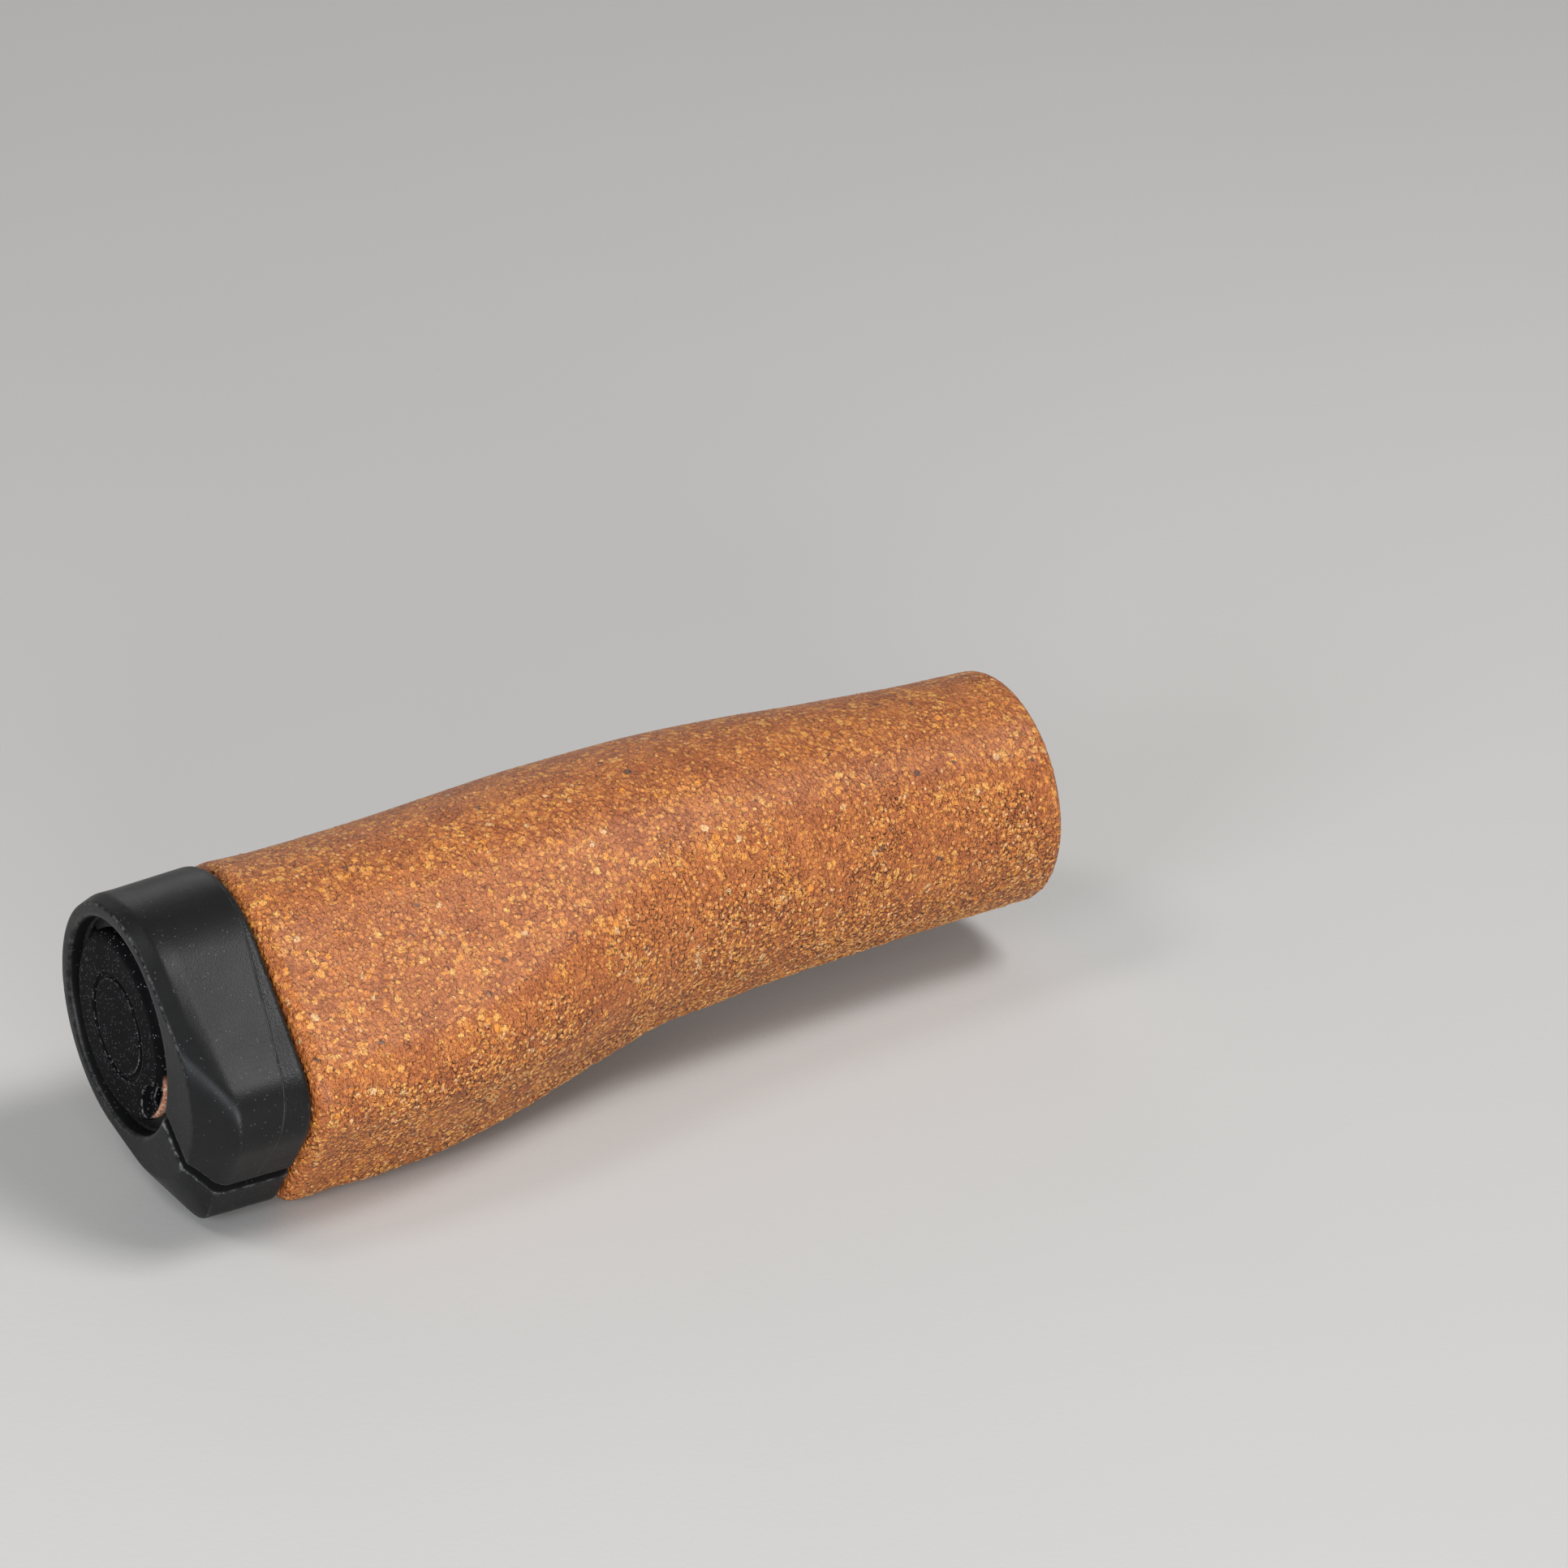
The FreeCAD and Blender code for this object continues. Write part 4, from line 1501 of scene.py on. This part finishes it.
@dataclass
class ScrewSet:
    """M4 socket head screw with its washer and square nut."""

    sizes: GripSizes
    steel: Finish = SatinSteel("screw_steel", linear(96, 96, 98), linear(58, 58, 60))
    zinc: Finish = SatinSteel("washer_zinc", linear(186, 186, 188), linear(140, 140, 144))
    radius: float = 2.0
    length: float = 16.0
    pitch: float = 0.7
    thread_depth: float = 0.4
    flank_share: float = 0.40
    crest_share: float = 0.12
    turn_steps: int = 36
    shank_top: float = 0.2
    tip_past: float = 0.01
    tip_inset: float = 0.66
    tip_chamfer: float = 0.7
    trim_top: float = 1.0
    clearance: float = 0.05
    head_r: float = 3.5
    head_height: float = 4.0
    head_side: float = 0.86
    head_eases: tuple[Pair, Pair] = ((0.12, 0.3), (0.3, 0.26))
    knurls: int = 44
    knurl_pull: float = 0.975
    hex_width: float = 3.0
    hex_depth: float = 2.2
    hex_past: float = 1.0
    lead_in: Pair = (0.1, 0.5)
    lead_in_height: float = 0.3
    drill_r: float = 0.2
    drill_depth: float = 0.5
    drill_past: float = 0.02
    washer_r: float = 3.5
    washer_hole_r: float = 2.15
    washer_thickness: float = 0.5
    washer_ease: float = 0.08
    seat_gap: float = 0.02
    nut_width: float = 7.0
    nut_thickness: float = 2.2
    nut_ease: float = 0.25
    tap_flare: float = 0.3
    tap_past: float = 0.2
    shank_facets: int = 48
    washer_facets: int = 96
    tap_facets: int = 72

    def _thread(self) -> BMesh:
        """Spin one thread's profile up the shank and trim it square at both ends.

        Returns:
            The threaded shank.
        """
        bm = bmesh.new()
        root = self.radius - self.thread_depth
        flank, crest = self.pitch * self.flank_share, self.pitch * self.crest_share
        profile = [(0.0, root), (flank, self.radius), (flank + crest, self.radius),
                   (self.pitch, root)]
        line = [bm.verts.new((r, 0.0, z - self.length - self.pitch)) for z, r in profile]
        edges = [bm.edges.new(pair) for pair in zip(line, line[1:])]
        turns = math.ceil(self.length / self.pitch) + 1
        bmesh.ops.spin(bm, geom=line + edges, cent=(0, 0, 0), axis=(0, 0, 1),
                       angle=2 * math.pi * turns, steps=self.turn_steps * turns,
                       dvec=(0, 0, self.pitch / self.turn_steps), use_merge=False)
        bmesh.ops.remove_doubles(bm, verts=bm.verts, dist=LOOSE_MERGE)
        for height, side in ((-self.length, -1), (self.shank_top, 1)):
            bmesh.ops.bisect_plane(bm, geom=bm.verts[:] + bm.edges[:] + bm.faces[:],
                                   plane_co=(0, 0, height), plane_no=(0, 0, side),
                                   clear_outer=True)
        bmesh.ops.holes_fill(bm, edges=[e for e in bm.edges if e.is_boundary], sides=0)
        bmesh.ops.recalc_face_normals(bm, faces=bm.faces)
        return bm

    def _head(self) -> BMesh:
        """Raise and ease a many-sided disc that has every other corner pulled in.

        Returns:
            The knurled round head.
        """
        bm = bmesh.new()
        made = bmesh.ops.create_circle(bm, cap_ends=True, segments=self.knurls * 2,
                                       radius=self.head_r)
        for vert in made["verts"]:
            turn = math.atan2(vert.co.y, vert.co.x) / (2 * math.pi) * self.knurls * 2
            if round(turn) % 2:
                bmesh.ops.scale(bm, vec=(self.knurl_pull, self.knurl_pull, 1.0), verts=[vert])
        up = bmesh.ops.extrude_face_region(bm, geom=bm.faces[:])["geom"]
        top = [v for v in up if isinstance(v, bmesh.types.BMVert)]
        bmesh.ops.translate(bm, vec=(0, 0, self.head_height * self.head_side), verts=top)
        face = next(f for f in up if isinstance(f, bmesh.types.BMFace))
        for inset, rise in self.head_eases:
            bmesh.ops.inset_region(bm, faces=[face], thickness=inset, use_even_offset=True)
            bmesh.ops.translate(bm, vec=(0, 0, rise), verts=face.verts[:])
        bmesh.ops.recalc_face_normals(bm, faces=bm.faces)
        return bm

    def _socket(self, place: Matrix) -> list[BMesh]:
        """Make the shapes that are cut out of the head.

        Args:
            place: frame under the head.

        Returns:
            The hex, its lead-in and the drill's point below it.
        """
        top, high = self.head_height, self.lead_in_height
        floor = top - self.hex_depth
        corner_r = self.hex_width / math.sqrt(3)
        less, more = self.lead_in
        return [
            rod(corner_r, floor, top + self.hex_past, place, segments=6),
            rod(corner_r - less, top - high, top + high, place, corner_r + more,
                self.shank_facets),
            rod(self.drill_r, floor - self.drill_depth, floor + self.drill_past, place,
                self.hex_width / 2, self.shank_facets),
        ]

    def _screw(self) -> None:
        """Make the screw."""
        place = self.sizes.on_screw(self.sizes.seat_drop + self.washer_thickness + self.seat_gap)
        piece = Workpiece("socket_screw", placed(self._head(), place))
        piece.combined(self._socket(place))
        shank = Workpiece("shank", placed(self._thread(), place))
        tip, wide = -self.length - self.tip_past, self.radius + self.clearance
        trim = turned([(tip, 0.0), (tip, self.radius - self.tip_inset),
                       (-self.length + self.tip_chamfer, wide), (self.trim_top, wide),
                       (self.trim_top, 0.0)], place, self.shank_facets)
        shank.combined([trim], Shaping.TRIM)
        piece.combined([shape_of(shank.obj.data)], Shaping.JOIN).tidied()
        dropped(shank.obj)
        piece.finished(self.steel.material(), Body.SCREW, "clamp_screw")

    def _washer(self) -> None:
        """Make the washer, with eased rims."""
        ease, high = self.washer_ease, self.washer_thickness
        out, inner = self.washer_r, self.washer_hole_r
        profile = [(0.0, inner + ease), (0.0, out - ease), (ease, out), (high - ease, out),
                   (high, out - ease), (high, inner + ease), (high - ease, inner), (ease, inner)]
        shape = turned(profile, self.sizes.on_screw(self.sizes.seat_drop), self.washer_facets)
        piece = Workpiece("plain_washer", shape)
        piece.finished(self.zinc.material(), Body.WASHER, "screw_washer")

    def _nut(self) -> None:
        """Make the square nut, with a tapped hole and eased edges."""
        half, thick = self.nut_width / 2, self.nut_thickness
        place = self.sizes.on_screw(-self.sizes.nut_rise)
        piece = Workpiece("square_nut", block((-half, -half, -thick), (half, half, 0.0), place))
        bore, flare, past = self.radius + self.clearance, self.tap_flare, self.tap_past
        wide = bore + flare + past
        tap = turned([(-thick - past, 0.0), (-thick - past, wide), (flare - thick, bore),
                      (-flare, bore), (past, wide), (past, 0.0)], place, self.tap_facets)
        piece.bevelled(self.nut_ease, 3).combined([tap])
        piece.finished(self.zinc.material(), Body.GRIP, "clamp_nut")

    def build(self) -> None:
        """Make the screw, washer and nut."""
        self._screw()
        self._washer()
        self._nut()


@dataclass
class CoreTube:
    """Hard tube under the cork, a merged copy of the CAD solid with eased edges."""

    finish: Finish = MouldedNylon("core_nylon", wear=0.2)
    node: str = "core_tube"
    flat_angle: float = 1.0
    ease: float = 0.12
    ease_segments: int = 2
    ease_angle: float = 40.0

    def build(self) -> None:
        """Make the tube."""
        bm = placed(shape_of(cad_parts[self.node].data), Matrix.Scale(1 / MM, 4))
        bmesh.ops.remove_doubles(bm, verts=bm.verts, dist=LOOSE_MERGE)
        bmesh.ops.dissolve_limit(bm, angle_limit=math.radians(self.flat_angle), verts=bm.verts,
                                 edges=bm.edges)
        piece = Workpiece("core_tube_moulding", bm)
        piece.bevelled(self.ease, self.ease_segments, self.ease_angle)
        piece.finished(self.finish.material(), Body.GRIP, self.node)


# --------------------------------------------------------------------------------------- studio


@dataclass(frozen=True)
class SoftLamp:
    """A large soft lamp, given by its place round the grip. Lengths are metres."""

    name: str
    direction: Corner
    distance: float
    size: Pair
    power: float
    tint: Colour = (1.0, 1.0, 1.0)

    def place(self, target: Vector) -> None:
        """Hang the lamp so that it faces the target.

        Args:
            target: what it lights.
        """
        data = bpy.data.lights.new(self.name, "AREA")
        data.shape = "RECTANGLE"
        data.size, data.size_y = self.size
        data.energy = self.power
        data.color = self.tint
        lamp = linked(self.name, data)
        aim = Vector(self.direction).normalized()
        lamp.location = target + aim * self.distance
        lamp.rotation_euler = aim.to_track_quat("Z", "Y").to_euler()


@dataclass
class Studio:
    """Floor, lamps, ambient light and camera. Lengths are metres."""

    target: Vector = field(default_factory=lambda: Vector((-0.03555, -0.00706, 0.01234)))
    camera_place: Vector = field(default_factory=lambda: Vector((-0.38715, -0.60253, 0.36819)))
    lens: float = 149.07
    sensor: float = 36.0
    clip: Pair = (0.01, 20.0)
    floor_finish: Finish = StudioFloor()
    floor_half: float = 4.0
    floor_gap: float = 0.0002
    ambient: float = 0.2
    lit: Vector = field(default_factory=lambda: Vector((-0.06, 0.0, 0.0)))
    lamps: tuple[SoftLamp, ...] = (
        SoftLamp("key", (0.42, -0.32, 0.85), 0.9, (0.36, 0.28), 5.3),
        SoftLamp("left_fill", (-0.78, -0.42, 0.36), 0.6, (0.26, 0.2), 1.5, (0.86, 0.92, 1.0)),
        SoftLamp("front_fill", (-0.34, -0.92, 0.16), 0.8, (0.4, 0.25), 4.9),
        SoftLamp("back_fill", (0.25, 0.85, 0.40), 0.9, (0.4, 0.3), 0.7),
        SoftLamp("top_left", (-0.45, 0.12, 0.85), 0.9, (0.24, 0.24), 1.4),
    )

    def _floor(self, height: float) -> None:
        """Lay the floor.

        Args:
            height: how high it lies.
        """
        bm = bmesh.new()
        bmesh.ops.create_grid(bm, x_segments=2, y_segments=2, size=self.floor_half)
        bmesh.ops.translate(bm, vec=(0, 0, height), verts=bm.verts)
        floor = linked("floor", mesh_of("floor", bm))
        floor.data.materials.append(self.floor_finish.material())
        floor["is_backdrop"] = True

    def _camera(self) -> None:
        """Set up the camera."""
        data = bpy.data.cameras.new("camera")
        data.lens = self.lens
        data.sensor_width = self.sensor
        data.clip_start, data.clip_end = self.clip
        camera = linked("camera", data)
        camera.location = self.camera_place
        away = self.camera_place - self.target
        camera.rotation_euler = away.to_track_quat("Z", "Y").to_euler()
        bpy.context.scene.camera = camera

    def build(self) -> None:
        """Make the studio round the finished grip."""
        scene = bpy.context.scene
        scene.view_settings.view_transform = "Standard"
        world = bpy.data.worlds.new("studio")
        world.use_nodes = True
        background = world.node_tree.nodes["Background"]
        background.inputs["Color"].default_value = (1.0, 1.0, 1.0, 1.0)
        background.inputs["Strength"].default_value = self.ambient
        scene.world = world
        low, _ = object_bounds()
        self._floor(low.z - self.floor_gap)
        for lamp in self.lamps:
            lamp.place(self.lit)
        self._camera()


def main() -> None:
    """Build the grip and its studio."""
    logging.basicConfig(level=logging.INFO, format="%(name)s %(message)s")
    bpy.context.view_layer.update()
    sizes = GripSizes()
    for assembly in (CorkSleeve(sizes), SplitClamp(sizes), EndPlug(sizes), ScrewSet(sizes),
                     CoreTube()):
        assembly.build()
    Studio().build()


if __name__ == "__main__":
    main()
